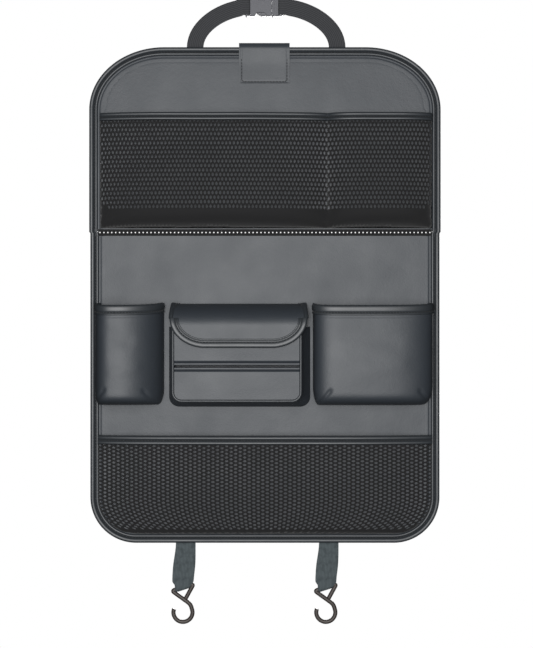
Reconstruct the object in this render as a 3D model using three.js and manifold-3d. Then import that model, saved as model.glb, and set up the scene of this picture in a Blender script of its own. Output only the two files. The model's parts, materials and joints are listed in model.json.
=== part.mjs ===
// A back seat organizer: a flat sewn panel of coated fabric that hangs on the back of a car seat.
// It has net pockets above and below, a bottle pocket, a tissue pocket with a flap and a wide
// pocket between them, a headrest strap with a side-release buckle on top, and two elastic
// straps with wire hooks below.
// Millimetres. +Z is up, +X is the viewer's right, and the pockets face -Y. The origin is on the
// back face of the panel, which lies against the seat, half way up it.
// "Depth" always means the distance in front of that back face, so y = -depth.

import * as THREE from 'three';
import { mergeVertices } from 'three/addons/utils/BufferGeometryUtils.js';
import Module from 'manifold-3d';

const wasm = await Module();
wasm.setup();

// Driving dimensions

const GAP = 0.3;                    // between two pieces that touch
const PANEL_HEIGHT = 595;
const UPPER_WIDTH = 422;            // the upper section is a little wider than the lower one
const LOWER_WIDTH = 419.2;
const TOP_CORNER_WIDE = 90;         // the top corners are quarter ellipses
const TOP_CORNER_HIGH = 75;
const BOTTOM_CORNER = 55;
const CORNER_STEPS = 7;
const FOLD_Z = 75.6;                // where the two sections fold on the joining tape
const FOLD_SLIT = 3.4;              // between the two sections, behind the tape's holes

const LINING = 1.2;                 // sheet thicknesses, from the seat forwards
const BOARD = 1.5;
const FACE = 1.3;
const BOARD_INSET = 15;             // the boards stop short of the sewn edge
const BINDING_WIDTH = 10.2;
const BINDING_SHEET = 1.3;
const BINDING_WEB = 1.6;            // the binding's thickness outside the panel's edge

const TAPE_HEIGHT = 8;              // the perforated tape that joins the sections
const TAPE_THICK = 1.1;
const TAPE_STEP = 0.1;              // its middle is a little smaller than its folded ends
const TAPE_HOLES = 44;
const TAPE_HOLE_HIGH = 2.4;

const HEM_WIDTH = 10.8;             // the folded hem on a leather pocket's mouth
const LEATHER = 1.6;                // pocket leather
const NET = 1.2;                    // net thickness

const BOTTLE = {                    // bottle pocket, left
  left: -LOWER_WIDTH / 2 + 2.5, crest: -177, right: -120.8, mouth: -13.6, bottom: -131.4, depth: 46,
  leftPower: 0.62, rightPower: 0.95, curve: 20, leftUndercut: 8.3, rightUndercut: 0,
};
const WIDE = {                      // wide pocket, right
  left: 57.5, crest: 106, right: LOWER_WIDTH / 2 - 4.2, mouth: -13.6, bottom: -131.8, depth: 38,
  leftPower: 0.45, rightPower: 0.6, curve: 24, leftUndercut: 0, rightUndercut: 6.6,
};
const MOUTH_RISE = 4.2;             // a pocket's mouth is higher where it meets the panel
const POCKET_TAPER = 0.14;          // share of its width that a pocket loses at the bottom

const TISSUE_LEFT = -118.4;         // tissue pocket, where its gusset is sewn to the panel
const TISSUE_RIGHT = 54.4;
const TISSUE_BOTTOM = -134;
const TISSUE_INSET_LEFT = 8.2;      // its front is smaller than its root
const TISSUE_INSET_RIGHT = 10.3;
const TISSUE_INSET_BOTTOM = 6.6;
const TISSUE_DEPTH = 33;            // from the panel's face to the pocket's front
const TISSUE_MOUTH = -46;           // hidden under the flap
const TISSUE_CORNER = 12;
const PIPING = 3.2;                 // piping diameter
const SLOT_Z = -84.7;               // the slit that tissues are drawn through
const SLOT = 2.4;
const LIP = 3.6;                    // rolled edge on each side of the slit

const FLAP_LEFT = -110.3;
const FLAP_RIGHT = 48.2;
const FLAP_TOP = -10.5;
const FLAP_BOTTOM = -61;
const FLAP_FALL = 27;               // height of the flap's curve over the pocket
const FLAP_CORNER_WIDE = 40;
const FLAP_CORNER_HIGH = 33;
const FLAP_TRIM = 6.4;
const PATCH_WIDTH = 90;             // hook-and-loop patches that hold the flap down
const PATCH_HEIGHT = 14;
const PATCH = 1.5;

const UPPER_NET_TOP = 216.4;
const UPPER_NET_FOLD = 101;         // lowest point of the bulge; below it the net returns
const UPPER_NET_DIVIDER = 75;       // the seam that splits the pocket in two
const UPPER_NET_MOUTH_DEPTH = 11;
const UPPER_NET_DEPTH = 25;
const UPPER_BAND = 8.6;
const LOWER_NET_TOP = -168.6;
const LOWER_NET_DEPTH = 13;
const LOWER_BAND = 10;
const BAND_LIFT = 3.8;              // the net's mouth stands off the panel by the band's own leg
const NET_STRAND = 0.3;             // share of a net cell that is strand, on each side
const UPPER_LATTICE = [30, 8];      // half cells across and down
const UPPER_OPEN_ROWS = 6;          // below these the net is plain cloth, where it folds under
const DIVIDER_COLUMN = 20;
const LOWER_LATTICE = [24, 8];
const LOWER_OPEN_ROWS = 7;

const TAB_LEFT = -31;               // leather tab folded over the top edge
const TAB_RIGHT = 29.6;
const TAB_RISE = 5;
const TAB_FRONT_LENGTH = 50;
const TAB_BACK_LENGTH = 40;
const TAB = 1.8;
const TAB_STAND = 5.4;              // how far it bows off the face over the binding
const TAB_RUN = 6;                  // from there to the panel's edge

const WEBBING_WIDTH = 20;           // headrest strap
const WEBBING = 1.3;
const ARC_CENTRE_X = 1.5;
const ARC_HALF_WIDTH = 85.5;
const ARC_RISE = 49.3;
const STRAP_TAIL = 42;              // sewn flat on the back of the panel
const ARC_OFFSET = 10;              // each half of the arc is drawn about its own centre
const ARC_STEPS = 10;
const RETURN_STEPS = 3;             // how far the folded-back end follows the strap
const LEVEL_FROM = 10;              // from here to the bar the webbing runs level

const BUCKLE_HALF_HEIGHT = 12;
const BUCKLE_HALF_THICK = 4.5;
const SOCKET_LEFT = -23.4;
const MOUTH_X = 8;                  // the socket's open end
const PLUG_RIGHT = 21.8;
const BAR = 3.4;                    // the bars that the webbing is folded round
const BAR_HALF_THICK = 2;
const WEBBING_SLOT = 2.4;
const WEBBING_ROOM = 0.5;           // beside the webbing, between the buckle's ears
const BUCKLE_WALL = 2;
const NOTCH_LEFT = -12.6;           // side windows in which the plug's arms show
const NOTCH_RIGHT = 2;
const NOTCH_HALF_HEIGHT = 7.2;
const BARB_HALF_HEIGHT = 11.8;
const ARM_OUTER = 9.2;
const ARM_THICK = 2.6;
const TONGUE_HALF_HEIGHT = 2.5;
const RUNNING = 0.3;                // clearance of the plug in the socket
const GRIP_RIBS = [2.6, 6.6];       // the plug's grip ribs, from the socket's mouth
const GRIP_RIB_HALF = 0.9;
const GRIP_RIB_RISE = 0.7;

const ELASTIC = 1.1;                // bottom straps
const ELASTIC_TOP_WIDTH = 21;
const ELASTIC_MID_WIDTH = 25.5;
const ELASTIC_LOOP_WIDTH = 13.2;    // gathered round the hook's bar
const ELASTIC_REAR_SHIFT = 2.6;     // the rear layer shows at the right of the front one
const ELASTIC_X = [-96.6, 75.6];
const ELASTIC_LEAN = -2.4;          // the loop hangs a little to the left of the seam
const HOOK_BAR_Z = -352.2;
const BAR_TILT = 0.31;              // the bars hang askew, in radians
const WIRE = 4.4;                   // hook wire diameter

// Derived places

const HALF_HEIGHT = PANEL_HEIGHT / 2;
const BOARD_BACK = LINING + GAP;
const FACE_BACK = BOARD_BACK + BOARD + GAP;
const FACE_FRONT = FACE_BACK + FACE;
const SEAT_DEPTH = FACE_FRONT + GAP;               // what is sewn on the face starts here
const LINING_RIM_BACK = FACE_BACK - GAP - LINING;  // at the edge the lining is pressed forwards
const BINDING_BACK = LINING_RIM_BACK - GAP - BINDING_SHEET;
const PANEL_EDGE = BINDING_WEB + GAP;              // how far the panel is inside the binding
const LINING_FIELD = BINDING_WIDTH + 3;            // where the lining steps back to its full depth

// Materials

const leather = new THREE.MeshStandardMaterial({ color: 0x6f7377, roughness: 0.5, metalness: 0 });
const trim = new THREE.MeshStandardMaterial({ color: 0x5c5f63, roughness: 0.42, metalness: 0 });
const net = new THREE.MeshStandardMaterial({ color: 0x1c1c1e, roughness: 0.8, metalness: 0 });
const lining = new THREE.MeshStandardMaterial({ color: 0x2b2c2e, roughness: 0.95, metalness: 0 });
const board = new THREE.MeshStandardMaterial({ color: 0xd9d7cf, roughness: 0.7, metalness: 0 });
const webbing = new THREE.MeshStandardMaterial({ color: 0x3e3f41, roughness: 0.85, metalness: 0 });
const elastic = new THREE.MeshStandardMaterial({ color: 0x4c5255, roughness: 0.8, metalness: 0 });
const plastic = new THREE.MeshStandardMaterial({ color: 0x6d6e78, roughness: 0.4, metalness: 0 });
const wire = new THREE.MeshStandardMaterial({ color: 0x4a4643, roughness: 0.4, metalness: 0.9 });

// Building solids

// A point given by its place across, its depth in front of the panel's back, and its height.
const at = (x, depth, z) => new THREE.Vector3(x, -depth, z);
const mix = (a, b, t) => a + (b - a) * t;
const smooth = (t) => THREE.MathUtils.smoothstep(t, 0, 1);
const count = (n) => Array.from({ length: n }, (_, i) => i);
const closing = (t, power) => Math.max(t, 0) ** power;

// A geometry from points and index triples, turned to face outwards if it faces inwards.
function closedBody(points, triangles) {
  const volume = triangles.reduce((sum, [a, b, c]) =>
    sum + points[a].dot(points[b].clone().cross(points[c])), 0);
  const index = triangles.flatMap(([a, b, c]) => (volume < 0 ? [a, c, b] : [a, b, c]));
  return new THREE.BufferGeometry().setFromPoints(points).setIndex(index);
}

// Joins closed rings of points, one after another, and caps both ends. The cap is triangulated
// from the section, which is the ring's own flat outline.
function loft(rings, section) {
  const size = section.length;
  const points = rings.flat();
  const last = (rings.length - 1) * size;
  const triangles = [];
  for (let r = 0; r < rings.length - 1; r++) {
    for (let i = 0; i < size; i++) {
      const [a, b] = [r * size + i, r * size + (i + 1) % size];
      triangles.push([a, b, b + size], [a, b + size, a + size]);
    }
  }
  const anticlockwise = THREE.ShapeUtils.area(section) > 0;
  for (const [a, b, c] of THREE.ShapeUtils.triangulateShape(section, [])) {
    const lid = anticlockwise ? [a, c, b] : [a, b, c];
    triangles.push(lid, [lid[0] + last, lid[2] + last, lid[1] + last]);
  }
  return closedBody(points, triangles);
}

// The unit normal of a surface given as a function of u and v, measured a little inside its edges.
function normalOf(surface, u, v) {
  const step = 0.01;
  const [cu, cv] = [u, v].map((t) => THREE.MathUtils.clamp(t, 2 * step, 1 - 2 * step));
  const along = surface(cu + step, cv).sub(surface(cu - step, cv));
  const down = surface(cu, cv + step).sub(surface(cu, cv - step));
  return down.cross(along).normalize();
}

// A sheet of even thickness: the surface, and the same surface moved back along its normal.
// Nothing of it comes nearer the seat than `floor`.
function sheet(surface, across, down, thickness, floor = -Infinity) {
  const front = [];
  const back = [];
  for (let j = 0; j <= down; j++) {
    for (let i = 0; i <= across; i++) {
      const [u, v] = [i / across, j / down];
      const point = surface(u, v);
      const behind = point.clone().addScaledVector(normalOf(surface, u, v), -thickness);
      behind.y = Math.min(behind.y, -floor);
      front.push(point);
      back.push(behind);
    }
  }
  const row = across + 1;
  const id = (i, j) => j * row + i;
  const size = front.length;
  const triangles = [];
  const quad = (a, b, c, d) => triangles.push([a, b, c], [a, c, d]);
  for (let j = 0; j < down; j++) {
    for (let i = 0; i < across; i++) {
      quad(id(i, j), id(i, j + 1), id(i + 1, j + 1), id(i + 1, j));
      quad(...[id(i, j), id(i + 1, j), id(i + 1, j + 1), id(i, j + 1)].map((k) => k + size));
    }
  }
  const rim = [
    ...count(across).map((i) => id(i, 0)),
    ...count(down).map((j) => id(across, j)),
    ...count(across).map((i) => id(across - i, down)),
    ...count(down).map((j) => id(0, down - j)),
  ];
  rim.forEach((a, i) => {
    const b = rim[(i + 1) % rim.length];
    quad(a, b, b + size, a + size);
  });
  return closedBody([...front, ...back], triangles);
}

// A net on a surface: a lattice of diamonds, each with a diamond hole, in a sheet of even
// thickness. Half diamonds along the border stay closed and make its selvedge, and so do the
// diamonds below the open rows.
function netting(surface, [columns, rows], openRows) {
  const points = [];
  const triangles = [];
  const seen = new Map();
  const vertex = (i, j) => {
    const key = i.toFixed(4) + ',' + j.toFixed(4);
    if (!seen.has(key)) {
      const [u, v] = [i / columns, j / rows];
      const point = surface(u, v);
      const behind = point.clone().addScaledVector(normalOf(surface, u, v), -NET);
      behind.y = Math.min(behind.y, -SEAT_DEPTH);
      seen.set(key, points.length);
      points.push(point, behind);
    }
    return seen.get(key);
  };
  const quad = (a, b, c, d) => triangles.push([a, b, c], [a, c, d]);
  const wall = (a, b) => quad(a, a + 1, b + 1, b);
  for (let j = 0; j <= rows; j++) {
    for (let i = (j + 1) % 2; i <= columns; i += 2) {
      const corners = [[i - 1, j], [i, j + 1], [i + 1, j], [i, j - 1]];
      const inside = corners.filter(([a, b]) => a >= 0 && a <= columns && b >= 0 && b <= rows);
      const outer = inside.map(([a, b]) => vertex(a, b));
      if (inside.length === 4 && j > openRows) {
        quad(...outer);
        quad(...outer.map((k) => k + 1).reverse());
      } else if (inside.length === 4) {
        const inner = corners.map(([a, b]) => vertex(mix(a, i, NET_STRAND), mix(b, j, NET_STRAND)));
        outer.forEach((a, k) => {
          const [b, c, d] = [outer[(k + 1) % 4], inner[(k + 1) % 4], inner[k]];
          quad(a, b, c, d);
          quad(a + 1, d + 1, c + 1, b + 1);
          wall(c, d);
        });
      } else {
        triangles.push(outer, outer.map((k) => k + 1).reverse());
        const [first, last] = inside.length === 3 ? borderEnds(inside, columns, rows) : [0, 0];
        wall(outer[first], outer[last]);
      }
    }
  }
  return closedBody(points, triangles);
}

// Which two corners of a half diamond lie on the net's border, in the order of its outline.
function borderEnds(corners, columns, rows) {
  for (let k = 0; k < corners.length; k++) {
    const next = (k + 1) % corners.length;
    const [[a, b], [c, d]] = [corners[k], corners[next]];
    const shared = (a === c && (a === 0 || a === columns)) || (b === d && (b === 0 || b === rows));
    if (shared) return [k, next];
  }
  throw new Error('a half diamond has no side on the border');
}

// A strip sewn along an edge: one section, given as distances inwards and outwards from the
// edge, carried along the edge's frames.
function edging(frames, profile) {
  const rings = frames.map(({ point, inward, outward }) =>
    profile.map(([a, b]) => point.clone().addScaledVector(inward, a).addScaledVector(outward, b)));
  return loft(rings, profile.map(([a, b]) => new THREE.Vector2(a, b)));
}

// A flat strap: stations with a centre and the direction across, made into a band.
function band(stations, thickness) {
  const rings = stations.map(({ centre, across, width }, i) => {
    const before = stations[Math.max(i - 1, 0)].centre;
    const after = stations[Math.min(i + 1, stations.length - 1)].centre;
    const through = after.clone().sub(before).normalize().cross(across).normalize();
    return [[-1, -1], [1, -1], [1, 1], [-1, 1]].map(([a, b]) => centre.clone()
      .addScaledVector(across, a * width / 2).addScaledVector(through, b * thickness / 2));
  });
  return loft(rings, [[-1, -1], [1, -1], [1, 1], [-1, 1]].map((p) => new THREE.Vector2(...p)));
}

// A flat plate with the given outline (across, up) between two depths.
function plate(shape, back, front, curveSegments = 8) {
  return new THREE.ExtrudeGeometry(shape, { depth: front - back, bevelEnabled: false, curveSegments })
    .translate(0, 0, back)
    .rotateX(Math.PI / 2);
}

function box(x0, x1, depth0, depth1, z0, z1) {
  return new THREE.BoxGeometry(x1 - x0, depth1 - depth0, z1 - z0)
    .translate((x0 + x1) / 2, -(depth0 + depth1) / 2, (z0 + z1) / 2);
}

function solidOf(geometry) {
  const bare = geometry.clone();
  bare.deleteAttribute('normal');
  bare.deleteAttribute('uv');
  const merged = mergeVertices(bare, 1e-4);
  return new wasm.Manifold(new wasm.Mesh({
    numProp: 3,
    vertProperties: new Float32Array(merged.attributes.position.array),
    triVerts: new Uint32Array(merged.index.array),
  }));
}

function geometryOf(solid) {
  const { vertProperties, triVerts } = solid.getMesh();
  return new THREE.BufferGeometry()
    .setAttribute('position', new THREE.BufferAttribute(vertProperties, 3))
    .setIndex(new THREE.BufferAttribute(triVerts, 1));
}

const join = (...all) => geometryOf(all.map(solidOf).reduce((a, b) => a.add(b)));
const cut = (body, ...tools) =>
  geometryOf(tools.map(solidOf).reduce((a, b) => a.subtract(b), solidOf(body)));

// Outlines of the two sections

const outlineOf = (upper) => ({
  half: (upper ? UPPER_WIDTH : LOWER_WIDTH) / 2,
  wide: upper ? TOP_CORNER_WIDE : BOTTOM_CORNER,
  high: upper ? TOP_CORNER_HIGH : BOTTOM_CORNER,
  way: upper ? 1 : -1,
});

// Frames along a section's far corners, from the left side over to the right side.
function cornerFrames(upper) {
  const { half, wide, high, way } = outlineOf(upper);
  return [-1, 1].flatMap((side) => count(CORNER_STEPS + 1).map((i) => {
    const turn = (side < 0 ? i : CORNER_STEPS - i) / CORNER_STEPS * Math.PI / 2;
    const [c, s] = [Math.cos(turn), Math.sin(turn)];
    return {
      point: at(side * (half - wide + wide * c), 0, way * (HALF_HEIGHT - high * (1 - s))),
      inward: at(-side * c / wide, 0, -way * s / high).normalize(),
      outward: at(0, 1, 0),
    };
  }));
}

// Frames along the whole bound edge of a section, from one end of the joining tape to the other.
function sectionEdge(upper) {
  const { half, way } = outlineOf(upper);
  const start = FOLD_Z + way * (TAPE_HEIGHT / 2 + GAP);
  const end = (side) =>
    ({ point: at(side * half, 0, start), inward: at(-side, 0, 0), outward: at(0, 1, 0) });
  return [end(-1), ...cornerFrames(upper), end(1)];
}

// The closed outline of a section at a distance inside its edge and inside the fold's slit.
function sectionShape(upper, inset, foldInset) {
  const { half, way } = outlineOf(upper);
  const fold = FOLD_Z + way * (FOLD_SLIT / 2 + foldInset);
  const corners = cornerFrames(upper).map(({ point, inward }) =>
    new THREE.Vector2(point.x + inset * inward.x, point.z + inset * inward.z));
  const points = [
    new THREE.Vector2(inset - half, fold), ...corners, new THREE.Vector2(half - inset, fold),
  ];
  return new THREE.Shape(upper ? points.reverse() : points);
}

// Panel pieces

const faceSheet = (upper) =>
  plate(sectionShape(upper, PANEL_EDGE, 0), FACE_BACK, FACE_FRONT);

const boardSheet = (upper) =>
  plate(sectionShape(upper, BOARD_INSET, BOARD_INSET / 2), BOARD_BACK, BOARD_BACK + BOARD);

// The lining is a shallow tray: its field lies on the seat and its rim is pressed forwards
// to the face, so that the board has its room and the binding's back leg lies flush.
function liningSheet(upper) {
  const foldField = PANEL_EDGE + LINING;
  const field = sectionShape(upper, LINING_FIELD, foldField);
  const inner = sectionShape(upper, LINING_FIELD + LINING, foldField + LINING);
  const ring = (outline) => {
    outline.holes.push(new THREE.Path(inner.getPoints(8)));
    return outline;
  };
  return join(
    plate(field, 0, LINING),
    plate(ring(sectionShape(upper, LINING_FIELD, foldField)), 0, LINING_RIM_BACK + LINING),
    plate(ring(sectionShape(upper, PANEL_EDGE, 0)), LINING_RIM_BACK, LINING_RIM_BACK + LINING),
  );
}

// The binding is a tape folded round the panel's edge over a cord: a round roll at the edge,
// a stitched groove, and the tape's own turned edge inside it.
const BINDING_PROFILE = [
  [BINDING_WIDTH - 0.6, BINDING_BACK + BINDING_SHEET],
  [BINDING_WIDTH - 0.6, BINDING_BACK],
  [1.6, BINDING_BACK],
  [0.1, 2],
  [0.2, 5],
  [1.6, 7.1],
  [3.4, 7.6],
  [5.2, 6.9],
  [6.5, 5.5],
  [7.5, 6.3],
  [9.4, 6.3],
  [BINDING_WIDTH, SEAT_DEPTH],
  [BINDING_WEB, SEAT_DEPTH],
  [BINDING_WEB, BINDING_BACK + BINDING_SHEET],
];

const binding = (upper) => edging(sectionEdge(upper), BINDING_PROFILE);

// The joining tape crosses the whole width in front of the slit between the sections, with one
// row of holes along the slit, and is folded round the edge at both ends like the binding.
function joiningTape() {
  const reach = UPPER_WIDTH / 2 - BINDING_WIDTH;
  const pitch = 2 * reach / TAPE_HOLES;
  const diamond = (path, x, wide, high) => {
    path.moveTo(x - wide / 2, FOLD_Z);
    path.lineTo(x, FOLD_Z - high / 2);
    path.lineTo(x + wide / 2, FOLD_Z);
    path.lineTo(x, FOLD_Z + high / 2);
    path.closePath();
    return path;
  };
  const overlap = reach + 2;
  const half = TAPE_HEIGHT / 2 - TAPE_STEP;
  const strip = new THREE.Shape([[-overlap, -half], [overlap, -half], [overlap, half],
    [-overlap, half]].map(([x, z]) => new THREE.Vector2(x, FOLD_Z + z)));
  strip.holes = count(TAPE_HOLES).map((i) =>
    diamond(new THREE.Path(), (i + 0.5) * pitch - reach, pitch * 0.64, TAPE_HOLE_HIGH));
  const widths = [
    [LOWER_WIDTH, -TAPE_HEIGHT / 2], [LOWER_WIDTH, -1], [UPPER_WIDTH, 1],
    [UPPER_WIDTH, TAPE_HEIGHT / 2],
  ];
  const end = (side) => edging(widths.map(([width, up]) => ({
    point: at(side * width / 2, 0, FOLD_Z + up), inward: at(-side, 0, 0), outward: at(0, 1, 0),
  })), BINDING_PROFILE);
  return join(plate(strip, SEAT_DEPTH + TAPE_STEP, SEAT_DEPTH + TAPE_THICK), end(-1), end(1));
}

// Leather pockets

// A soft pocket: u runs from its left seam round the front to its right seam, v from the mouth
// to the bottom seam. Each cross-section is half a superellipse whose crest lies off its middle,
// and towards the bottom the whole section closes down to the panel along another one.
// Where the pocket hangs out over the binding, its wall is undercut down to its seam.
function pocketSurface(p) {
  return (u, v) => {
    const angle = Math.PI * u;
    const power = u < 0.5 ? p.leftPower : p.rightPower;
    const side = closing(Math.abs(Math.cos(angle)), power);
    const swell = closing(Math.sin(angle), power);
    const straight = p.mouth - p.bottom - p.curve;
    const share = straight / (straight + 1.4 * p.curve);
    const turn = Math.max(v - share, 0) / (1 - share) * Math.PI / 2;
    const fullness = closing(Math.cos(turn), 0.8) * mix(0.93, 1, smooth(v / share));
    const narrow = 1 - POCKET_TAPER * (1 - Math.cos(turn));
    const top = p.mouth + MOUTH_RISE * (1 - swell);
    const fall = turn > 0 ? p.mouth - straight - p.curve * Math.sin(turn)
      : mix(top, p.mouth - straight, v / share);
    const depth = SEAT_DEPTH + p.depth * swell * fullness;
    const bare = 1 - smooth((depth - SEAT_DEPTH) / 9);
    const width = u < 0.5 ? p.left - p.crest : p.right - p.crest;
    const shift = u < 0.5 ? p.leftUndercut * bare : -p.rightUndercut * bare;
    return at(p.crest + width * side * narrow + shift, depth, fall);
  };
}

const POCKET_COLUMNS = 14;
const POCKET_ROWS = 6;
const pocket = (p) =>
  sheet(pocketSurface(p), POCKET_COLUMNS, POCKET_ROWS, LEATHER, SEAT_DEPTH);

// The hem is a strip folded over the pocket's mouth and stitched twice.
const HEM_PROFILE = [
  [HEM_WIDTH, GAP],
  [HEM_WIDTH, 1.2],
  [9.3, 0.9],
  [8.0, 1.5],
  [6.2, 0.9],
  [3.2, 1.9],
  [0, 1.6],
  [-1.2, -0.8],
  [0, -2.8],
  [8, -2.8],
  [8, -LEATHER - GAP],
  [-GAP, -LEATHER - GAP],
  [-GAP, GAP],
];

function hem(p) {
  const surface = pocketSurface(p);
  const frames = count(POCKET_COLUMNS - 1).map((i) => {
    const u = (i + 1) / POCKET_COLUMNS;
    return {
      point: surface(u, 0),
      inward: surface(u, 1 / POCKET_ROWS).sub(surface(u, 0)).normalize(),
      outward: normalOf(surface, u, 0),
    };
  });
  return edging(frames, HEM_PROFILE);
}

// Tissue pocket

const TISSUE_FRONT = SEAT_DEPTH + TISSUE_DEPTH;

// The U-shaped line down one side, round the bottom and up the other, at a distance inside
// the pocket's root or front outline. t runs from 0 to 1.
function tissueLine(t, front, inset = 0) {
  const left = TISSUE_LEFT + (front ? TISSUE_INSET_LEFT : 0) + inset;
  const right = TISSUE_RIGHT - (front ? TISSUE_INSET_RIGHT : 0) - inset;
  const bottom = TISSUE_BOTTOM + (front ? TISSUE_INSET_BOTTOM : 0) + inset;
  const radius = TISSUE_CORNER - inset;
  const marks = [0, 0.3, 0.42, 0.58, 0.7, 1];
  const stretch = marks.findIndex((m, i) => i > 0 && t <= m + 1e-9);
  const s = (t - marks[stretch - 1]) / (marks[stretch] - marks[stretch - 1]);
  const bend = s * Math.PI / 2;
  return [
    () => [left, mix(TISSUE_MOUTH, bottom + radius, s)],
    () => [left + radius * (1 - Math.cos(bend)), bottom + radius * (1 - Math.sin(bend))],
    () => [mix(left + radius, right - radius, s), bottom],
    () => [right - radius * (1 - Math.sin(bend)), bottom + radius * (1 - Math.cos(bend))],
    () => [right, mix(bottom + radius, TISSUE_MOUTH, s)],
  ][stretch - 1]();
}

const TISSUE_STATIONS = [0, 0.15, 0.3, 0.34, 0.38, 0.42, 0.5, 0.58, 0.62, 0.66, 0.7, 0.85, 1];
const stationAt = (u) => {
  const place = u * (TISSUE_STATIONS.length - 1);
  const low = Math.min(Math.floor(place), TISSUE_STATIONS.length - 2);
  return mix(TISSUE_STATIONS[low], TISSUE_STATIONS[low + 1], place - low);
};

// The gusset is one strip that stands between the panel and the pocket's front.
function tissueGusset() {
  const surface = (u, v) => {
    const t = stationAt(u);
    const [x0, z0] = tissueLine(t, false);
    const [x1, z1] = tissueLine(t, true);
    const reach = smooth(v) * 0.4 + v * 0.6;
    return at(mix(x0, x1, reach), mix(SEAT_DEPTH, TISSUE_FRONT - GAP, v), mix(z0, z1, reach));
  };
  return sheet((u, v) => surface(u, 1 - v), TISSUE_STATIONS.length - 1, 3, LEATHER, SEAT_DEPTH);
}

// Round piping covers the seam between gusset and front.
function tissuePiping() {
  const sides = 6;
  const frames = TISSUE_STATIONS.map((t) => {
    const [x, z] = tissueLine(t, true, PIPING / 2);
    const [xi, zi] = tissueLine(t, true, PIPING);
    return { point: at(x, TISSUE_FRONT + PIPING / 2, z), inward: at(xi - x, 0, zi - z).normalize(),
      outward: at(0, 1, 0) };
  });
  const circle = count(sides).map((i) => {
    const angle = (i + 0.5) / sides * 2 * Math.PI;
    return [Math.cos(angle) * PIPING / 2, Math.sin(angle) * PIPING / 2];
  });
  return edging(frames, circle);
}

// Half of the pocket's front, above or below the slit, with its edge rolled along the slit.
function tissueFront(upper) {
  const inset = PIPING + GAP;
  const left = TISSUE_LEFT + TISSUE_INSET_LEFT + inset;
  const right = TISSUE_RIGHT - TISSUE_INSET_RIGHT - inset;
  const bottom = TISSUE_BOTTOM + TISSUE_INSET_BOTTOM + inset;
  const edge = SLOT_Z + (upper ? SLOT / 2 : -SLOT / 2);
  const way = upper ? 1 : -1;
  const far = upper ? TISSUE_MOUTH : bottom;
  const rows = [edge, edge + way * LIP * 0.25, edge + way * LIP * 0.75, edge + way * LIP,
    edge + way * LIP * 1.2, ...(upper ? [far] : [far + 9, far + 3, far])];
  const lift = [0.2, 1.3, 1.3, 0.1, 0, 0, 0, 0];
  const corner = TISSUE_CORNER - inset;
  const surface = (u, v) => {
    const place = v * (rows.length - 1);
    const low = Math.min(Math.floor(place), rows.length - 2);
    const z = mix(rows[low], rows[low + 1], place - low);
    const depth = TISSUE_FRONT + LEATHER + mix(lift[low], lift[low + 1], place - low);
    const drop = upper ? 0 : Math.max(bottom + corner - z, 0);
    const narrow = corner - Math.sqrt(Math.max(corner ** 2 - drop ** 2, 0));
    return at(mix(left + narrow, right - narrow, u), depth, z);
  };
  const ordered = upper ? (u, v) => surface(u, 1 - v) : surface;
  return sheet(ordered, 4, rows.length - 1, LEATHER * 0.9);
}

const PATCH_FRONT = TISSUE_FRONT + LEATHER + 2 * (PATCH + GAP);
const patchPiece = (order) => {
  const back = TISSUE_FRONT + LEATHER + GAP + order * (PATCH + GAP);
  const middle = (FLAP_LEFT + FLAP_RIGHT) / 2;
  const z = FLAP_BOTTOM + FLAP_TRIM + 2;
  return box(middle - PATCH_WIDTH / 2, middle + PATCH_WIDTH / 2, back, back + PATCH,
    z, z + PATCH_HEIGHT);
};

// The flap leaves the panel above the pocket, curves forwards and down over its mouth in a
// quarter ellipse, and hangs flat over its front to rounded corners.
const FLAP_INNER = PATCH_FRONT + GAP;
const FLAP_OUTER = FLAP_INNER + LEATHER;
const FLAP_CURVE_SHARE = 0.62;

// The columns are spaced round the corners' ellipses, five steps to a corner.
const CORNER_COLUMNS = 5;
const FLAP_COLUMNS = 2 * CORNER_COLUMNS + 2;

function flapSurface(u, v) {
  const side = u < 0.5 ? u : 1 - u;
  const turn = Math.min(side * FLAP_COLUMNS / CORNER_COLUMNS, 1) * Math.PI / 2;
  const past = Math.max(side * FLAP_COLUMNS - CORNER_COLUMNS, 0);
  const middle = (FLAP_RIGHT - FLAP_LEFT) / 2 - FLAP_CORNER_WIDE;
  const inwards = FLAP_CORNER_WIDE * (1 - Math.cos(turn)) + past * middle;
  const x = u < 0.5 ? FLAP_LEFT + inwards : FLAP_RIGHT - inwards;
  const lift = FLAP_CORNER_HIGH * (1 - Math.sin(turn));
  const curveEnd = FLAP_TOP - FLAP_FALL;
  const flat = curveEnd - FLAP_BOTTOM;
  const length = FLAP_CURVE_SHARE + (1 - FLAP_CURVE_SHARE) * (1 - lift / flat);
  const s = v * Math.max(length, 0.3);
  if (s > FLAP_CURVE_SHARE) {
    const hang = (s - FLAP_CURVE_SHARE) / (1 - FLAP_CURVE_SHARE);
    return at(x, FLAP_OUTER, curveEnd - hang * flat);
  }
  const bend = s / FLAP_CURVE_SHARE * Math.PI / 2;
  return at(x, mix(SEAT_DEPTH + LEATHER, FLAP_OUTER, Math.sin(bend)),
    FLAP_TOP - FLAP_FALL * (1 - Math.cos(bend)));
}

const FLAP_ROWS = 8;
const flapLeather = () => sheet(flapSurface, FLAP_COLUMNS, FLAP_ROWS, LEATHER, SEAT_DEPTH);

// The flap's binding runs down its left edge, round the front and up its right edge.
const FLAP_CLEAR = 1.1;
const FLAP_PROFILE = [
  [FLAP_TRIM, FLAP_CLEAR],
  [FLAP_TRIM - 0.7, 1.5],
  [FLAP_TRIM - 1.8, 1.3],
  [2.4, 1.9],
  [-0.9, 1.7],
  [-1.9, -0.8],
  [-1, -LEATHER - 1.8],
  [2.4, -LEATHER - 1.8],
  [2.4, -LEATHER - FLAP_CLEAR],
  [-FLAP_CLEAR, -LEATHER - FLAP_CLEAR],
  [-FLAP_CLEAR, FLAP_CLEAR],
];

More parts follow.
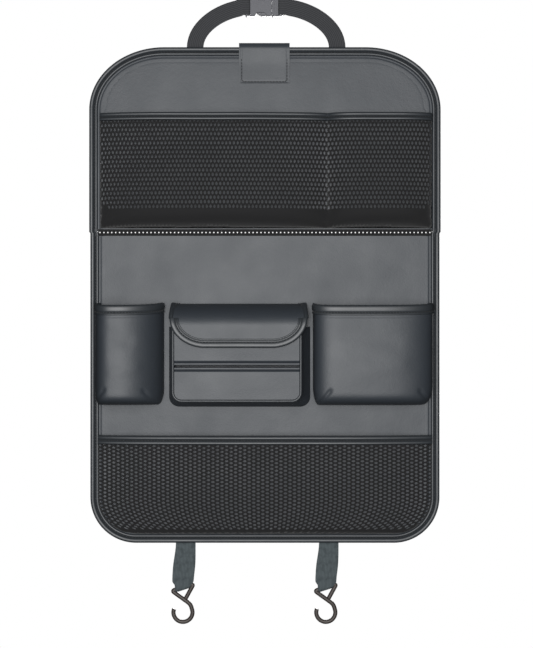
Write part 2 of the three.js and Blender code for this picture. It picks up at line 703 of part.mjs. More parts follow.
function flapBinding() {
  const side = count(FLAP_ROWS - 2).map((j) => (j + 2) / FLAP_ROWS);
  const edge = [
    ...side.map((v) => [0, v]),
    ...count(FLAP_COLUMNS + 1).map((i) => [i / FLAP_COLUMNS, 1]),
    ...side.reverse().map((v) => [1, v]),
  ];
  const points = edge.map(([u, v]) => flapSurface(u, v));
  const frames = edge.map(([u, v], i) => {
    const before = points[Math.max(i - 1, 0)];
    const after = points[Math.min(i + 1, points.length - 1)];
    const outward = normalOf(flapSurface, u, v);
    const inward = outward.clone().cross(after.clone().sub(before)).normalize();
    return { point: points[i], inward, outward };
  });
  return edging(frames, FLAP_PROFILE);
}

// Net pockets

// The upper net is sewn down at both sides and at the divider, and bulges between them. Its
// bulge grows downwards, then folds back to the seam just above the joining tape.
const UPPER_NET_LEFT = -UPPER_WIDTH / 2 + BINDING_WIDTH + 5;
const UPPER_NET_RIGHT = UPPER_WIDTH / 2 - BINDING_WIDTH - 2.4;
const UPPER_NET_BOTTOM = FOLD_Z + TAPE_HEIGHT / 2 + 1;

const netSeat = (v) => SEAT_DEPTH + NET + BAND_LIFT * Math.max(1 - 4 * v, 0);

function upperNetSurface(u, v) {
  const divide = DIVIDER_COLUMN / UPPER_LATTICE[0];
  const place = u < divide ? u / divide : (u - divide) / (1 - divide);
  const x = u < divide ? mix(UPPER_NET_LEFT, UPPER_NET_DIVIDER, place)
    : mix(UPPER_NET_DIVIDER, UPPER_NET_RIGHT, place);
  const across = Math.abs(2 * place - 1);
  const lobe = closing(1 - across ** 3.2, 0.6);
  const z = mix(UPPER_NET_TOP, UPPER_NET_BOTTOM, v);
  const down = (UPPER_NET_TOP - z) / (UPPER_NET_TOP - UPPER_NET_FOLD);
  const below = Math.max(UPPER_NET_FOLD - z, 0) / (UPPER_NET_FOLD - UPPER_NET_BOTTOM);
  const full = mix(UPPER_NET_MOUTH_DEPTH, UPPER_NET_DEPTH, Math.min(down, 1));
  return at(x, netSeat(v) + full * lobe * closing(1 - below ** 2.2, 0.7), z);
}

// The lower net lies closer to the panel and follows its rounded corners.
const LOWER_NET_HALF = LOWER_WIDTH / 2 - BINDING_WIDTH - 1;
const LOWER_NET_BOTTOM = -HALF_HEIGHT + BINDING_WIDTH + 1;

function lowerNetSurface(u, v) {
  const z = mix(LOWER_NET_TOP, LOWER_NET_BOTTOM, v);
  const corner = BOTTOM_CORNER - BINDING_WIDTH;
  const drop = Math.max(LOWER_NET_BOTTOM + corner - z, 0);
  const half = LOWER_NET_HALF - corner + Math.sqrt(Math.max(corner ** 2 - drop ** 2, 0));
  const across = 2 * u - 1;
  const lobe = closing(1 - Math.abs(across) ** 4, 0.7) * closing(1 - v ** 6, 0.6);
  return at(across * half, netSeat(v) + LOWER_NET_DEPTH * lobe, z);
}

// A leather band folded over a net's upper edge, with one stitched groove. It follows the
// net's own lattice, so its back leg keeps clear of the strands.
const BAND_CLEAR = 1.3;
const BAND_LEG = -NET - BAND_CLEAR - 0.9;
const bandProfile = (height) => [
  [height, BAND_CLEAR],
  [height * 0.9, 2.7],
  [height * 0.5, 2.1],
  [height * 0.25, 3],
  [-1.5, 1.2],
  [-0.4, BAND_LEG],
  [height * 0.7, BAND_LEG],
  [height * 0.7, -NET - BAND_CLEAR],
  [-GAP, -NET - BAND_CLEAR],
  [-GAP, BAND_CLEAR],
];

function netBand(surface, [columns, rows], height) {
  const top = (i) => surface(i / columns, 0);
  const frames = count(columns + 1).map((i) => {
    const point = i % 2 ? top(i - 1).lerp(top(i + 1), 0.5) : top(i);
    const inward = surface(i / columns, 1 / rows).sub(point).normalize();
    return { point, inward, outward: inward.clone().cross(at(1, 0, 0)).normalize() };
  });
  return edging(frames, bandProfile(height));
}

// Headrest strap and buckle

const WEBBING_DEPTH = -GAP - WEBBING / 2;          // it lies on the back of the panel
const ARC_BASE = HALF_HEIGHT;
const BUCKLE_Z = ARC_BASE + ARC_RISE;
const BAR_CLEAR = 0.5;
const WRAP = BAR_HALF_THICK + BAR_CLEAR + WEBBING / 2;   // from a bar's middle to the webbing's middle

// One half of the strap: sewn flat behind the panel, round its arc above it, level round the
// buckle's bar from the front, and back along itself behind.
function headrestStrap(side, barX) {
  const start = ARC_CENTRE_X + side * ARC_OFFSET;
  const reach = ARC_HALF_WIDTH - ARC_OFFSET;
  const station = (place, depth) => ({ ...place, centre: place.centre.clone().setY(-depth),
    width: WEBBING_WIDTH });
  const onArc = (a) => ({
    centre: at(start + side * reach * Math.cos(a), 0, ARC_BASE + ARC_RISE * Math.sin(a)),
    across: at(Math.cos(a) * ARC_RISE, 0, side * Math.sin(a) * reach).normalize(),
  });
  const level = (x) => ({ centre: at(x, 0, BUCKLE_Z), across: at(0, 0, side) });
  const end = Math.acos((Math.abs(barX - start) + LEVEL_FROM) / reach);
  const arc = count(ARC_STEPS + 1).map((i) => onArc(i / ARC_STEPS * end));
  const out = barX + side * (LEVEL_FROM - 4);
  const front = WEBBING_DEPTH + WRAP;
  const rear = WEBBING_DEPTH - WRAP;
  const inner = barX - side * (BAR / 2 + GAP + BAR_CLEAR + WEBBING / 2);
  const tail = [STRAP_TAIL, STRAP_TAIL / 2].map((down) =>
    ({ centre: at(arc[0].centre.x, 0, ARC_BASE - down), across: arc[0].across }));
  return band([
    ...tail.map((place) => station(place, WEBBING_DEPTH)),
    ...arc.map((place, i) =>
      station(place, mix(WEBBING_DEPTH, front, smooth((i / ARC_STEPS - 0.4) / 0.6)))),
    station(level(out), front),
    station(level(barX - side * BAR * 0.55), front),
    station(level(inner), WEBBING_DEPTH + WRAP * 0.6),
    station(level(inner), WEBBING_DEPTH - WRAP * 0.6),
    station(level(barX - side * BAR * 0.55), rear),
    station(level(out), rear),
    ...arc.slice(-RETURN_STEPS).reverse().map((place) => station(place, rear)),
  ], WEBBING);
}

// Rounded rectangle in the (across, up) plane.
function roundedBox(x0, x1, half, radius, middle = BUCKLE_Z) {
  const shape = new THREE.Shape();
  const [z0, z1] = [middle - half, middle + half];
  shape.moveTo(x0 + radius, z0);
  shape.lineTo(x1 - radius, z0);
  shape.absarc(x1 - radius, z0 + radius, radius, -Math.PI / 2, 0);
  shape.lineTo(x1, z1 - radius);
  shape.absarc(x1 - radius, z1 - radius, radius, 0, Math.PI / 2);
  shape.lineTo(x0 + radius, z1);
  shape.absarc(x0 + radius, z1 - radius, radius, Math.PI / 2, Math.PI);
  shape.lineTo(x0, z0 + radius);
  shape.absarc(x0 + radius, z0 + radius, radius, Math.PI, Math.PI * 1.5);
  shape.closePath();
  return shape;
}

const BUCKLE_BACK = WEBBING_DEPTH - BUCKLE_HALF_THICK;
const BUCKLE_FRONT = WEBBING_DEPTH + BUCKLE_HALF_THICK;
const WEBBING_HALF = WEBBING_WIDTH / 2 + WEBBING_ROOM;

// The room that the webbing needs at one end of the buckle: a slot beside the bar, and
// recesses in front of and behind the bar between its ears.
function webbingRoom(barX, slotX, outerX) {
  const [x0, x1] = [Math.min(barX, outerX), Math.max(barX, outerX)];
  const [z0, z1] = [BUCKLE_Z - WEBBING_HALF, BUCKLE_Z + WEBBING_HALF];
  return [
    box(slotX - WEBBING_SLOT / 2, slotX + WEBBING_SLOT / 2, BUCKLE_BACK - 1, BUCKLE_FRONT + 1, z0, z1),
    box(x0, x1, WEBBING_DEPTH + BAR_HALF_THICK, BUCKLE_FRONT + 1, z0, z1),
    box(x0, x1, BUCKLE_BACK - 1, WEBBING_DEPTH - BAR_HALF_THICK, z0, z1),
  ];
}

const SOCKET_BAR = SOCKET_LEFT + BAR / 2;
const PLUG_BAR = PLUG_RIGHT - BAR / 2;
const SOCKET_SLOT = SOCKET_LEFT + BAR + WEBBING_SLOT / 2;
const PLUG_SLOT = PLUG_RIGHT - BAR - WEBBING_SLOT / 2;
const PLUG_HALF_THICK = BUCKLE_HALF_THICK - BUCKLE_WALL - RUNNING;

// The socket is a flat box, open towards the plug, with a notch in each side for the arms.
function buckleSocket() {
  const body = plate(roundedBox(SOCKET_LEFT, MOUTH_X, BUCKLE_HALF_HEIGHT, 2.5), BUCKLE_BACK,
    BUCKLE_FRONT, 3);
  const notch = (way) => {
    const shape = new THREE.Shape();
    const [near, far] = [BUCKLE_Z + way * NOTCH_HALF_HEIGHT, BUCKLE_Z + way * (BUCKLE_HALF_HEIGHT + 1)];
    shape.moveTo(NOTCH_LEFT, far);
    shape.quadraticCurveTo(NOTCH_LEFT + 0.5, near, NOTCH_LEFT + 4, near);
    shape.lineTo(NOTCH_RIGHT - 3, near);
    shape.quadraticCurveTo(NOTCH_RIGHT, near, NOTCH_RIGHT, far);
    shape.closePath();
    return plate(shape, BUCKLE_BACK - 1, BUCKLE_FRONT + 1, 3);
  };
  const cavityHalf = BUCKLE_HALF_HEIGHT - BUCKLE_WALL + 0.3;
  const cavity = box(NOTCH_LEFT - 1.5, MOUTH_X + 1, WEBBING_DEPTH - PLUG_HALF_THICK - RUNNING,
    WEBBING_DEPTH + PLUG_HALF_THICK + RUNNING, BUCKLE_Z - cavityHalf, BUCKLE_Z + cavityHalf);
  return cut(body, notch(1), notch(-1), cavity,
    ...webbingRoom(SOCKET_LEFT + BAR, SOCKET_SLOT, SOCKET_LEFT - 1));
}

// The plug has two arms that end in barbs, a guide tongue between them, and a ribbed grip.
function bucklePlug() {
  const grip = plate(roundedBox(MOUTH_X + RUNNING, PLUG_RIGHT, BUCKLE_HALF_HEIGHT, 2.5),
    BUCKLE_BACK, BUCKLE_FRONT, 3);
  const [back, front] = [WEBBING_DEPTH - PLUG_HALF_THICK, WEBBING_DEPTH + PLUG_HALF_THICK];
  const tongue = box(NOTCH_LEFT + 5, MOUTH_X + 2, back, front, BUCKLE_Z - TONGUE_HALF_HEIGHT,
    BUCKLE_Z + TONGUE_HALF_HEIGHT);
  const arm = (way) => {
    const up = (h) => BUCKLE_Z + way * h;
    const shape = new THREE.Shape();
    shape.moveTo(MOUTH_X + 2, up(ARM_OUTER - ARM_THICK));
    shape.lineTo(MOUTH_X + 2, up(ARM_OUTER));
    shape.lineTo(NOTCH_RIGHT - 0.6, up(ARM_OUTER));
    shape.lineTo(NOTCH_RIGHT - 1.2, up(BARB_HALF_HEIGHT - 0.8));
    shape.quadraticCurveTo(NOTCH_RIGHT - 4, up(BARB_HALF_HEIGHT + 0.6), NOTCH_RIGHT - 8,
      up(BARB_HALF_HEIGHT - 1.6));
    shape.lineTo(NOTCH_LEFT + 1.6, up(ARM_OUTER - 2.2));
    shape.lineTo(NOTCH_LEFT + 2, up(ARM_OUTER - ARM_THICK - 1));
    shape.lineTo(NOTCH_RIGHT - 4, up(ARM_OUTER - ARM_THICK));
    shape.closePath();
    return plate(shape, back, front, 3);
  };
  const ribs = GRIP_RIBS.map((run) => box(MOUTH_X + run - GRIP_RIB_HALF,
    MOUTH_X + run + GRIP_RIB_HALF, BUCKLE_FRONT - 1, BUCKLE_FRONT + GRIP_RIB_RISE,
    BUCKLE_Z - BUCKLE_HALF_HEIGHT + 1.4, BUCKLE_Z + BUCKLE_HALF_HEIGHT - 1.4));
  return cut(join(grip, tongue, arm(1), arm(-1), ...ribs),
    ...webbingRoom(PLUG_RIGHT - BAR, PLUG_SLOT, PLUG_RIGHT + 1));
}

// Leather tab over the top edge

// v runs from the tab's front end, up over the binding and down the back.
function tabSurface(u, v) {
  const top = HALF_HEIGHT + TAB_RISE;
  const path = new THREE.CatmullRomCurve3([
    at(0, SEAT_DEPTH + TAB, top - TAB_FRONT_LENGTH),
    at(0, SEAT_DEPTH + TAB + 1, top - TAB_FRONT_LENGTH * 0.5),
    at(0, FACE_FRONT + TAB_STAND, HALF_HEIGHT - TAB_RUN),
    at(0, FACE_FRONT + TAB_STAND, HALF_HEIGHT),
    at(0, FACE_FRONT - GAP, top),
    at(0, GAP - TAB, HALF_HEIGHT),
    at(0, -GAP - TAB, HALF_HEIGHT - 2 * TAB_RUN),
    at(0, -GAP - TAB, top - TAB_BACK_LENGTH),
  ], false, 'centripetal');
  const point = path.getPoint(v);
  point.x = mix(TAB_LEFT, TAB_RIGHT, u);
  return point;
}

const topTab = () => sheet((u, v) => tabSurface(1 - u, v), 1, 16, TAB);

// Elastic straps and wire hooks

const BAR_DEPTH = -GAP - ELASTIC - GAP - WIRE / 2;  // the hook's bar hangs behind the front layer

// An elastic strap sewn behind the lower edge, folded round the hook's bar and back up. The
// bar hangs askew, and the strap turns with it towards its fold.
function elasticStrap(x) {
  const front = -GAP - ELASTIC / 2;
  const radius = WIRE / 2 + GAP + ELASTIC / 2;
  const rear = BAR_DEPTH - radius;
  const close = front - ELASTIC - 2 * GAP;
  const drop = -HALF_HEIGHT - HOOK_BAR_Z;
  const frame = (share) => {
    const turn = BAR_TILT * smooth(share);
    return {
      across: at(Math.cos(turn), 0, Math.sin(turn)),
      downward: at(Math.sin(turn), 0, -Math.cos(turn)),
      middle: at(x + ELASTIC_LEAN * smooth(share), 0, -HALF_HEIGHT - drop * share),
      width: share < 0.6 ? mix(ELASTIC_TOP_WIDTH, ELASTIC_MID_WIDTH, smooth(share / 0.6))
        : mix(ELASTIC_MID_WIDTH, ELASTIC_LOOP_WIDTH, smooth((share - 0.895) / 0.06)),
    };
  };
  const station = (share, depth, below = 0) => {
    const { across, downward, middle, width } = frame(share);
    return { centre: middle.addScaledVector(downward, below).setY(-depth), across, width };
  };
  const shares = [0, 0.25, 0.5, 0.8, 0.915, 0.955];
  const turn = count(7).map((i) => Math.PI * i / 6);
  const seam = (depth) => ({ centre: at(x, depth, -HALF_HEIGHT + BINDING_WIDTH - 1),
    across: at(1, 0, 0), width: ELASTIC_TOP_WIDTH });
  const behind = (share) => {
    const place = station(share, mix(close, rear, smooth(share)));
    return { ...place, centre: place.centre.add(at(ELASTIC_REAR_SHIFT * (1 - smooth(share)), 0, 0)) };
  };
  const rearSeam = seam(close);
  rearSeam.centre.x += ELASTIC_REAR_SHIFT;
  return band([
    seam(front),
    ...shares.map((share) => station(share, front)),
    ...turn.map((a) => station(1, BAR_DEPTH + radius * Math.cos(a), radius * Math.sin(a))),
    ...[...shares].reverse().map(behind),
    rearSeam,
  ], ELASTIC);
}

// The hook is one bent wire: a short leg, the bar through the strap, a long leg that crosses
// under it, and an open bowl. Each corner is rounded over the given distance.
const BAR_REACH = 13.8;
const HOOK_CORNERS = [
  [5, -11, 0],
  [BAR_REACH * Math.cos(BAR_TILT), BAR_REACH * Math.sin(BAR_TILT), 3.6],
  [-BAR_REACH * Math.cos(BAR_TILT), -BAR_REACH * Math.sin(BAR_TILT), 3.4],
  [9.4, -20.4, 4],
];
const BOWL = { x: 0.2, z: -30.2, radius: 11.5, from: 20, to: -203 };

function hookLine() {
  const bowl = count(11).map((i) => {
    const angle = mix(BOWL.from, BOWL.to, i / 10) * Math.PI / 180;
    return new THREE.Vector2(BOWL.x + BOWL.radius * Math.cos(angle),
      BOWL.z + BOWL.radius * Math.sin(angle));
  });
  const corners = HOOK_CORNERS.map(([x, z]) => new THREE.Vector2(x, z));
  const bends = [1, 2, 3].flatMap((k) => {
    const [a, b] = [corners[k - 1], corners[k + 1] ?? bowl[0]].map((far) =>
      corners[k].clone().add(far.clone().sub(corners[k]).setLength(HOOK_CORNERS[k][2])));
    return count(5).map((i) => {
      const t = i / 4;
      return a.clone().lerp(corners[k], t).lerp(corners[k].clone().lerp(b, t), t);
    });
  });
  return [corners[0], ...bends, ...bowl];
}

function wireHook(x) {
  const line = hookLine();
  const sides = 6;
  const circle = count(sides).map((i) => {
    const angle = i / sides * 2 * Math.PI;
    return [Math.cos(angle), Math.sin(angle)];
  });
  const section = circle.map((p) => new THREE.Vector2(...p));
  const ring = (point, tangent, radius) => circle.map(([a, b]) => at(
    x + point.x - tangent.y * a * radius,
    BAR_DEPTH + b * radius,
    HOOK_BAR_Z + point.y + tangent.x * a * radius,
  ));
  const tangentAt = (i) => line[Math.min(i + 1, line.length - 1)].clone()
    .sub(line[Math.max(i - 1, 0)]).normalize();
  const rings = line.map((point, i) => ring(point, tangentAt(i), WIRE / 2));
  const tip = (i, way) => ring(line[i].clone().addScaledVector(tangentAt(i), way * WIRE * 0.4),
    tangentAt(i), WIRE * 0.22);
  return loft([tip(0, -1), ...rings, tip(line.length - 1, 1)], section);
}

// The organizer

const organizer = new THREE.Group();
const add = (name, geometry, material) => {
  const mesh = new THREE.Mesh(geometry, material);
  mesh.name = name;
  organizer.add(mesh);
};

for (const [name, upper] of [['upper', true], ['lower', false]]) {
  add(`${name}_face`, faceSheet(upper), leather);
  add(`${name}_board`, boardSheet(upper), board);
  add(`${name}_lining`, liningSheet(upper), lining);
  add(`${name}_binding`, binding(upper), trim);
}
add('joining_tape', joiningTape(), net);

add('bottle_pocket', pocket(BOTTLE), leather);
add('bottle_pocket_hem', hem(BOTTLE), trim);
add('wide_pocket', pocket(WIDE), leather);
add('wide_pocket_hem', hem(WIDE), trim);

add('tissue_gusset', tissueGusset(), leather);
add('tissue_front_upper', tissueFront(true), leather);
add('tissue_front_lower', tissueFront(false), leather);
add('tissue_piping', tissuePiping(), trim);
add('tissue_flap', flapLeather(), leather);
add('tissue_flap_binding', flapBinding(), trim);
add('loop_patch', patchPiece(0), net);
add('hook_patch', patchPiece(1), net);

add('upper_net', netting(upperNetSurface, UPPER_LATTICE, UPPER_OPEN_ROWS), net);
add('upper_net_band', netBand(upperNetSurface, UPPER_LATTICE, UPPER_BAND), trim);
add('lower_net', netting(lowerNetSurface, LOWER_LATTICE, LOWER_OPEN_ROWS), net);
add('lower_net_band', netBand(lowerNetSurface, LOWER_LATTICE, LOWER_BAND), trim);

add('top_tab', topTab(), leather);
add('headrest_strap_left', headrestStrap(-1, SOCKET_BAR), webbing);
add('headrest_strap_right', headrestStrap(1, PLUG_BAR), webbing);
add('buckle_socket', buckleSocket(), plastic);
add('buckle_plug', bucklePlug(), plastic);

for (const [i, side] of ['left', 'right'].entries()) {
  add(`elastic_strap_${side}`, elasticStrap(ELASTIC_X[i]), elastic);
  add(`wire_hook_${side}`, wireHook(ELASTIC_X[i] + ELASTIC_LEAN), wire);
}

export default organizer;
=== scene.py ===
# %% [markdown]
# A back seat organizer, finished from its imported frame.
#
# The frame gives every piece its place. What follows gives each one the look that a sewn
# thing has: rolled edges, stitches, a fine net, woven webbing and grained coated cloth.
# Lengths are in millimetres and turned into metres only where a mesh is made. As in the
# part's own source, a depth is the distance in front of the panel's back face, so y = -depth.

# %% Load the frame
import json
import math

import bmesh
import bpy
import numpy as np
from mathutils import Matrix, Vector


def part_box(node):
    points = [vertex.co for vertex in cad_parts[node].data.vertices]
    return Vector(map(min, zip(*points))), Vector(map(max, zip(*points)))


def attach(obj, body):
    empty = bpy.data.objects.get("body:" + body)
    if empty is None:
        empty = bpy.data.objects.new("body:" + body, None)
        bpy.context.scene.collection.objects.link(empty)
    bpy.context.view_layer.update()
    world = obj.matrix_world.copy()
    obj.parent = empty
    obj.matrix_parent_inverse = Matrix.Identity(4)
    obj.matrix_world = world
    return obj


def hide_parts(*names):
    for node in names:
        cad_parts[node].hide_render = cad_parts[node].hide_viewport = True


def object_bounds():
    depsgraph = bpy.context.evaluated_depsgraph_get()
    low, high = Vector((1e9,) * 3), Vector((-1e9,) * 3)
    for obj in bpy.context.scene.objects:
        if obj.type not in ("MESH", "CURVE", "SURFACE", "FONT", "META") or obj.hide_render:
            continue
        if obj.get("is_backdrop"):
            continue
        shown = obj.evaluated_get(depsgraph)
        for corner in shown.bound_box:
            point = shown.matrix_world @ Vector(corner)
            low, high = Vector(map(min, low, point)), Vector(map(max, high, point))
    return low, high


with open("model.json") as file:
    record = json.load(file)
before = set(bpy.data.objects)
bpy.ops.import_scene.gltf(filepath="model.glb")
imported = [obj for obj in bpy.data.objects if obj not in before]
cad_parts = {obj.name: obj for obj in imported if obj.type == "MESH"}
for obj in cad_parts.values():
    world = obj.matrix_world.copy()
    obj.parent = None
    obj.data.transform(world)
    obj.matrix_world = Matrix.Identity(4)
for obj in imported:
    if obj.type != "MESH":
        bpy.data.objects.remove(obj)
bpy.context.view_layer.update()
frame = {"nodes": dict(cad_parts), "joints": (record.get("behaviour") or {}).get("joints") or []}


# %% [markdown]
# Every size below comes from the boxes of the frame's nodes, so the finished pieces follow
# the CAD wherever it goes. A box is given as left, right, back, front, bottom and top.

# %% Sizes taken from the frame
def box(node):
    """The node's box in millimetres: left, right, back and front depth, bottom and top."""
    low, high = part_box(node)
    return [1000 * v for v in (low[0], high[0], -high[1], -low[1], low[2], high[2])]


UPPER = box("upper_binding")
LOWER = box("lower_binding")
HALF_UPPER = (UPPER[1] - UPPER[0]) / 2
HALF_LOWER = (LOWER[1] - LOWER[0]) / 2
TOP = UPPER[5]
BOTTOM = LOWER[4]
FOLD = (box("joining_tape")[4] + box("joining_tape")[5]) / 2 - 0.7
FACE = box("upper_face")[3]
GAP = 0.3
SEAT = FACE + GAP
TOP_CORNER = (90.0, 75.0)
BOTTOM_CORNER = (55.0, 55.0)
BINDING = 10.2
TAPE = 8.0
print("panel", round(2 * HALF_UPPER), "by", round(TOP - BOTTOM), "mm, face at", round(FACE, 2))

# %% [markdown]
# A mesh can be made point by point, but a sewn piece is easier to describe as a surface: a
# formula that gives a place for every pair of numbers u and v between 0 and 1. numpy works
# the formula out for a whole grid at once, which is fast and short. The grid is then given
# a second side, so the cloth has its real thickness.

# %% Helpers: meshes from grids and sweeps
def smooth(t):
    """0 below 0, 1 above 1, and an even S curve between."""
    t = np.clip(t, 0, 1)
    return t * t * (3 - 2 * t)


def bump(t, centre, width):
    """A bell of height 1 at the centre, down to 0.6 at half the width."""
    return np.exp(-(((t - centre) / width) ** 2) * 2)


def place(x, depth, z):
    """Stacks across, depth and height into points in the frame's own axes."""
    x, depth, z = np.broadcast_arrays(x, depth, z)
    return np.stack([x, -depth, z], axis=-1).astype(float)


def pair(a, b):
    """Stacks two rows of numbers into flat points."""
    return np.stack(np.broadcast_arrays(a, b), axis=-1)


def facing(path, x, depth, z):
    """One direction, given for every point of a path."""
    return np.broadcast_to(place(x, depth, z), path.shape)


def unit(v):
    """The same vectors, each divided by its own length."""
    return v / np.maximum(np.linalg.norm(v, axis=-1, keepdims=True), 1e-9)


def read_between(at, known, table):
    """Reads every column of a table of numbers at places between its rows."""
    columns = np.asarray(table, dtype=float).T
    return np.stack([np.interp(at, known, column) for column in columns], axis=-1)


def finish_mesh(name, points, faces, uvs, sharp=40, closed=True):
    """Makes an object from points in mm, faces and a (u, v) in metres for every point.
    A closed mesh whose volume comes out negative is inside out, so its faces are turned."""
    mesh = bpy.data.meshes.new(name)
    mesh.from_pydata((np.asarray(points) * 0.001).tolist(), [], faces)
    mesh.update()
    if closed:
        probe = bmesh.new()
        probe.from_mesh(mesh)
        inside_out = probe.calc_volume(signed=True) < 0
        probe.free()
        if inside_out:
            mesh.flip_normals()
    loops = np.empty(len(mesh.loops), dtype=np.int32)
    mesh.loops.foreach_get("vertex_index", loops)
    layer = mesh.uv_layers.new(name="UVMap")
    layer.data.foreach_set("uv", np.asarray(uvs, dtype=np.float32)[loops].ravel())
    mesh.polygons.foreach_set("use_smooth", np.ones(len(mesh.polygons), dtype=bool))
    mesh.set_sharp_from_angle(angle=math.radians(sharp))
    obj = bpy.data.objects.new(name, mesh)
    bpy.context.scene.collection.objects.link(obj)
    return obj


def grid_faces(rows, columns, start=0, flip=False, wrap=False):
    """The quads of a grid of points with this many rows and columns."""
    last = columns if wrap else columns - 1
    j, i = np.meshgrid(np.arange(rows - 1), np.arange(last), indexing="ij")
    k = (i + 1) % columns
    a, b = j * columns + i, j * columns + k
    c, d = (j + 1) * columns + k, (j + 1) * columns + i
    quads = np.stack([a, d, c, b] if not flip else [a, b, c, d], axis=-1)
    return quads.reshape(-1, 4) + start


def lengths(points, axis):
    """How far along the grid each point is, in metres."""
    step = np.linalg.norm(np.diff(points, axis=axis), axis=-1)
    total = np.cumsum(step, axis=axis)
    pad = [(0, 0), (0, 0)]
    pad[axis] = (1, 0)
    return np.pad(total, pad) * 0.001


def distances(path):
    """How far along a path each of its points is, in mm."""
    return lengths(np.asarray(path)[:, None], 0)[:, 0] * 1000


def outwards(points):
    """The unit normals of a grid whose columns run to the right and rows run down."""
    across = np.gradient(points, axis=1)
    down = np.gradient(points, axis=0)
    return unit(np.cross(down, across))


def sheet(name, surface, columns, rows, thickness, back_floor=None):
    """A sheet of even thickness on surface(u, v), with the surface as its outer side."""
    wide, high = columns + 1, rows + 1
    v, u = np.meshgrid(np.linspace(0, 1, high), np.linspace(0, 1, wide), indexing="ij")
    front = surface(u, v)
    back = front - outwards(front) * thickness
    if back_floor is not None:
        back[..., 1] = np.minimum(back[..., 1], -back_floor)
    size = wide * high
    rim = np.concatenate([
        np.arange(wide), np.arange(1, high) * wide + columns,
        rows * wide + np.arange(columns - 1, -1, -1), np.arange(rows - 1, 0, -1) * wide,
    ])
    after = np.roll(rim, -1)
    faces = np.concatenate([
        grid_faces(high, wide), grid_faces(high, wide, size, flip=True),
        np.stack([rim, after, after + size, rim + size], axis=-1),
    ])
    uv = pair(lengths(front, 1), lengths(front, 0)).reshape(-1, 2)
    points = np.concatenate([front.reshape(-1, 3), back.reshape(-1, 3)])
    return finish_mesh(name, points, faces.tolist(), np.concatenate([uv, uv]))


def rounded(corners):
    """A closed outline with each corner cut off a quarter of the way along its two sides."""
    line = np.asarray(corners, dtype=float)
    after = np.roll(line, -1, axis=0)
    return np.stack([0.75 * line + 0.25 * after, 0.25 * line + 0.75 * after], 1).reshape(-1, 2)


def sweep(name, path, inward, outward, outline, around=None, sharp=40):
    """Carries a closed outline, given as (inward, outward) distances, along a path. The UV is
    the distance along the path, and the one round the outline unless around says otherwise."""
    n, m = len(path), len(outline)
    rings = (path[:, None] + inward[:, None] * outline[None, :, :1]
             + outward[:, None] * outline[None, :, 1:])
    faces = grid_faces(n, m, wrap=True).tolist()
    faces += [list(range(m)), list(range((n - 1) * m, n * m))[::-1]]
    if around is None:
        around = distances(outline)[None]
    uv = pair(distances(path)[:, None], around).reshape(-1, 2) * 0.001
    return finish_mesh(name, rings.reshape(-1, 3), faces, uv, sharp)


def tube(name, path, radius, sides=16):
    """A round tube along a path that stays at one depth: a circle carried along it."""
    ahead = unit(np.gradient(path, axis=0))
    back = facing(path, 0, -1, 0)
    angle = np.linspace(0, 2 * math.pi, sides, endpoint=False)
    circle = radius * pair(np.cos(angle), np.sin(angle))
    return sweep(name, path, np.cross(ahead, back), back, circle)


def even(path, step):
    """The same path with points an even step apart."""
    along = distances(path)
    count = max(int(round(along[-1] / step)), 2)
    return read_between(np.linspace(0, along[-1], count + 1), along, path)


STITCH_PITCH = 3.7


def stitches(name, path, normal, length=3.3, radius=0.42, lift=0.12):
    """A row of stitches: short bent threads that dip into the cloth at both ends."""
    points = even(path, STITCH_PITCH)
    middles = (points[1:] + points[:-1]) / 2
    along = unit(points[1:] - points[:-1])
    source = distances(path)
    normal = np.broadcast_to(np.asarray(normal, dtype=float), np.shape(path))
    up = unit(read_between(np.linspace(0, source[-1], len(middles)), source, normal))
    side = unit(np.cross(along, up))
    stations, sides = 5, 6
    size = stations * sides
    t = np.linspace(-1, 1, stations)
    angle = np.linspace(0, 2 * math.pi, sides, endpoint=False)
    thin = np.array([0.45, 0.95, 1.0, 0.95, 0.45]) * radius
    rise = lift + radius * 0.4 - 1.1 * radius * t ** 4
    rings = (middles[:, None, None] + along[:, None, None] * (t * length / 2)[None, :, None, None]
             + up[:, None, None] * (rise[:, None] + thin[:, None] * np.sin(angle))[None, ..., None]
             + side[:, None, None] * (thin[:, None] * np.cos(angle))[None, ..., None])
    one = grid_faces(stations, sides, wrap=True, flip=True)
    shift = np.arange(len(middles)) * size
    faces = (one[None] + shift[:, None, None]).reshape(-1, 4).tolist()
    for end in (np.arange(sides), np.arange(size - sides, size)[::-1]):
        faces += (end[None] + shift[:, None]).tolist()
    uv = np.zeros((len(middles) * size, 2))
    return finish_mesh(name, rings.reshape(-1, 3), faces, uv)


def joined(name, objects):
    """One object made of several, under the name given."""
    with bpy.context.temp_override(active_object=objects[0], selected_editable_objects=objects,
                                   selected_objects=objects, object=objects[0]):
        bpy.ops.object.join()
    objects[0].name = name
    objects[0].data.name = name
    return objects[0]


def settle(obj, material, slot, *nodes, body="panel", cut=None):
    """Gives a piece its material and its body, and hides the CAD nodes that it stands for. cut, the
    flat width and length in mm, how the cloth is held and what it is sewn on, is not used."""
    obj.data.materials.clear()
    obj.data.materials.append(material)
    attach(obj, body)
    if nodes:
        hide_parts(*nodes)
    return obj


# %% [markdown]
# Materials are made from nodes. Coated cloth is a cloth with a skin of polyurethane pressed
# to look like leather: its grain is made of small soft pebbles, about a millimetre across,
# and it has a broad satin sheen. Noise and Voronoi textures make the grain, in real sizes.

# %% Helpers: materials
def srgb(text):
    """A colour such as #6f7377 as linear red, green, blue and alpha."""
    parts = [int(text[i:i + 2], 16) / 255 for i in (1, 3, 5)]
    return [c / 12.92 if c <= 0.04045 else ((c + 0.055) / 1.055) ** 2.4 for c in parts] + [1.0]


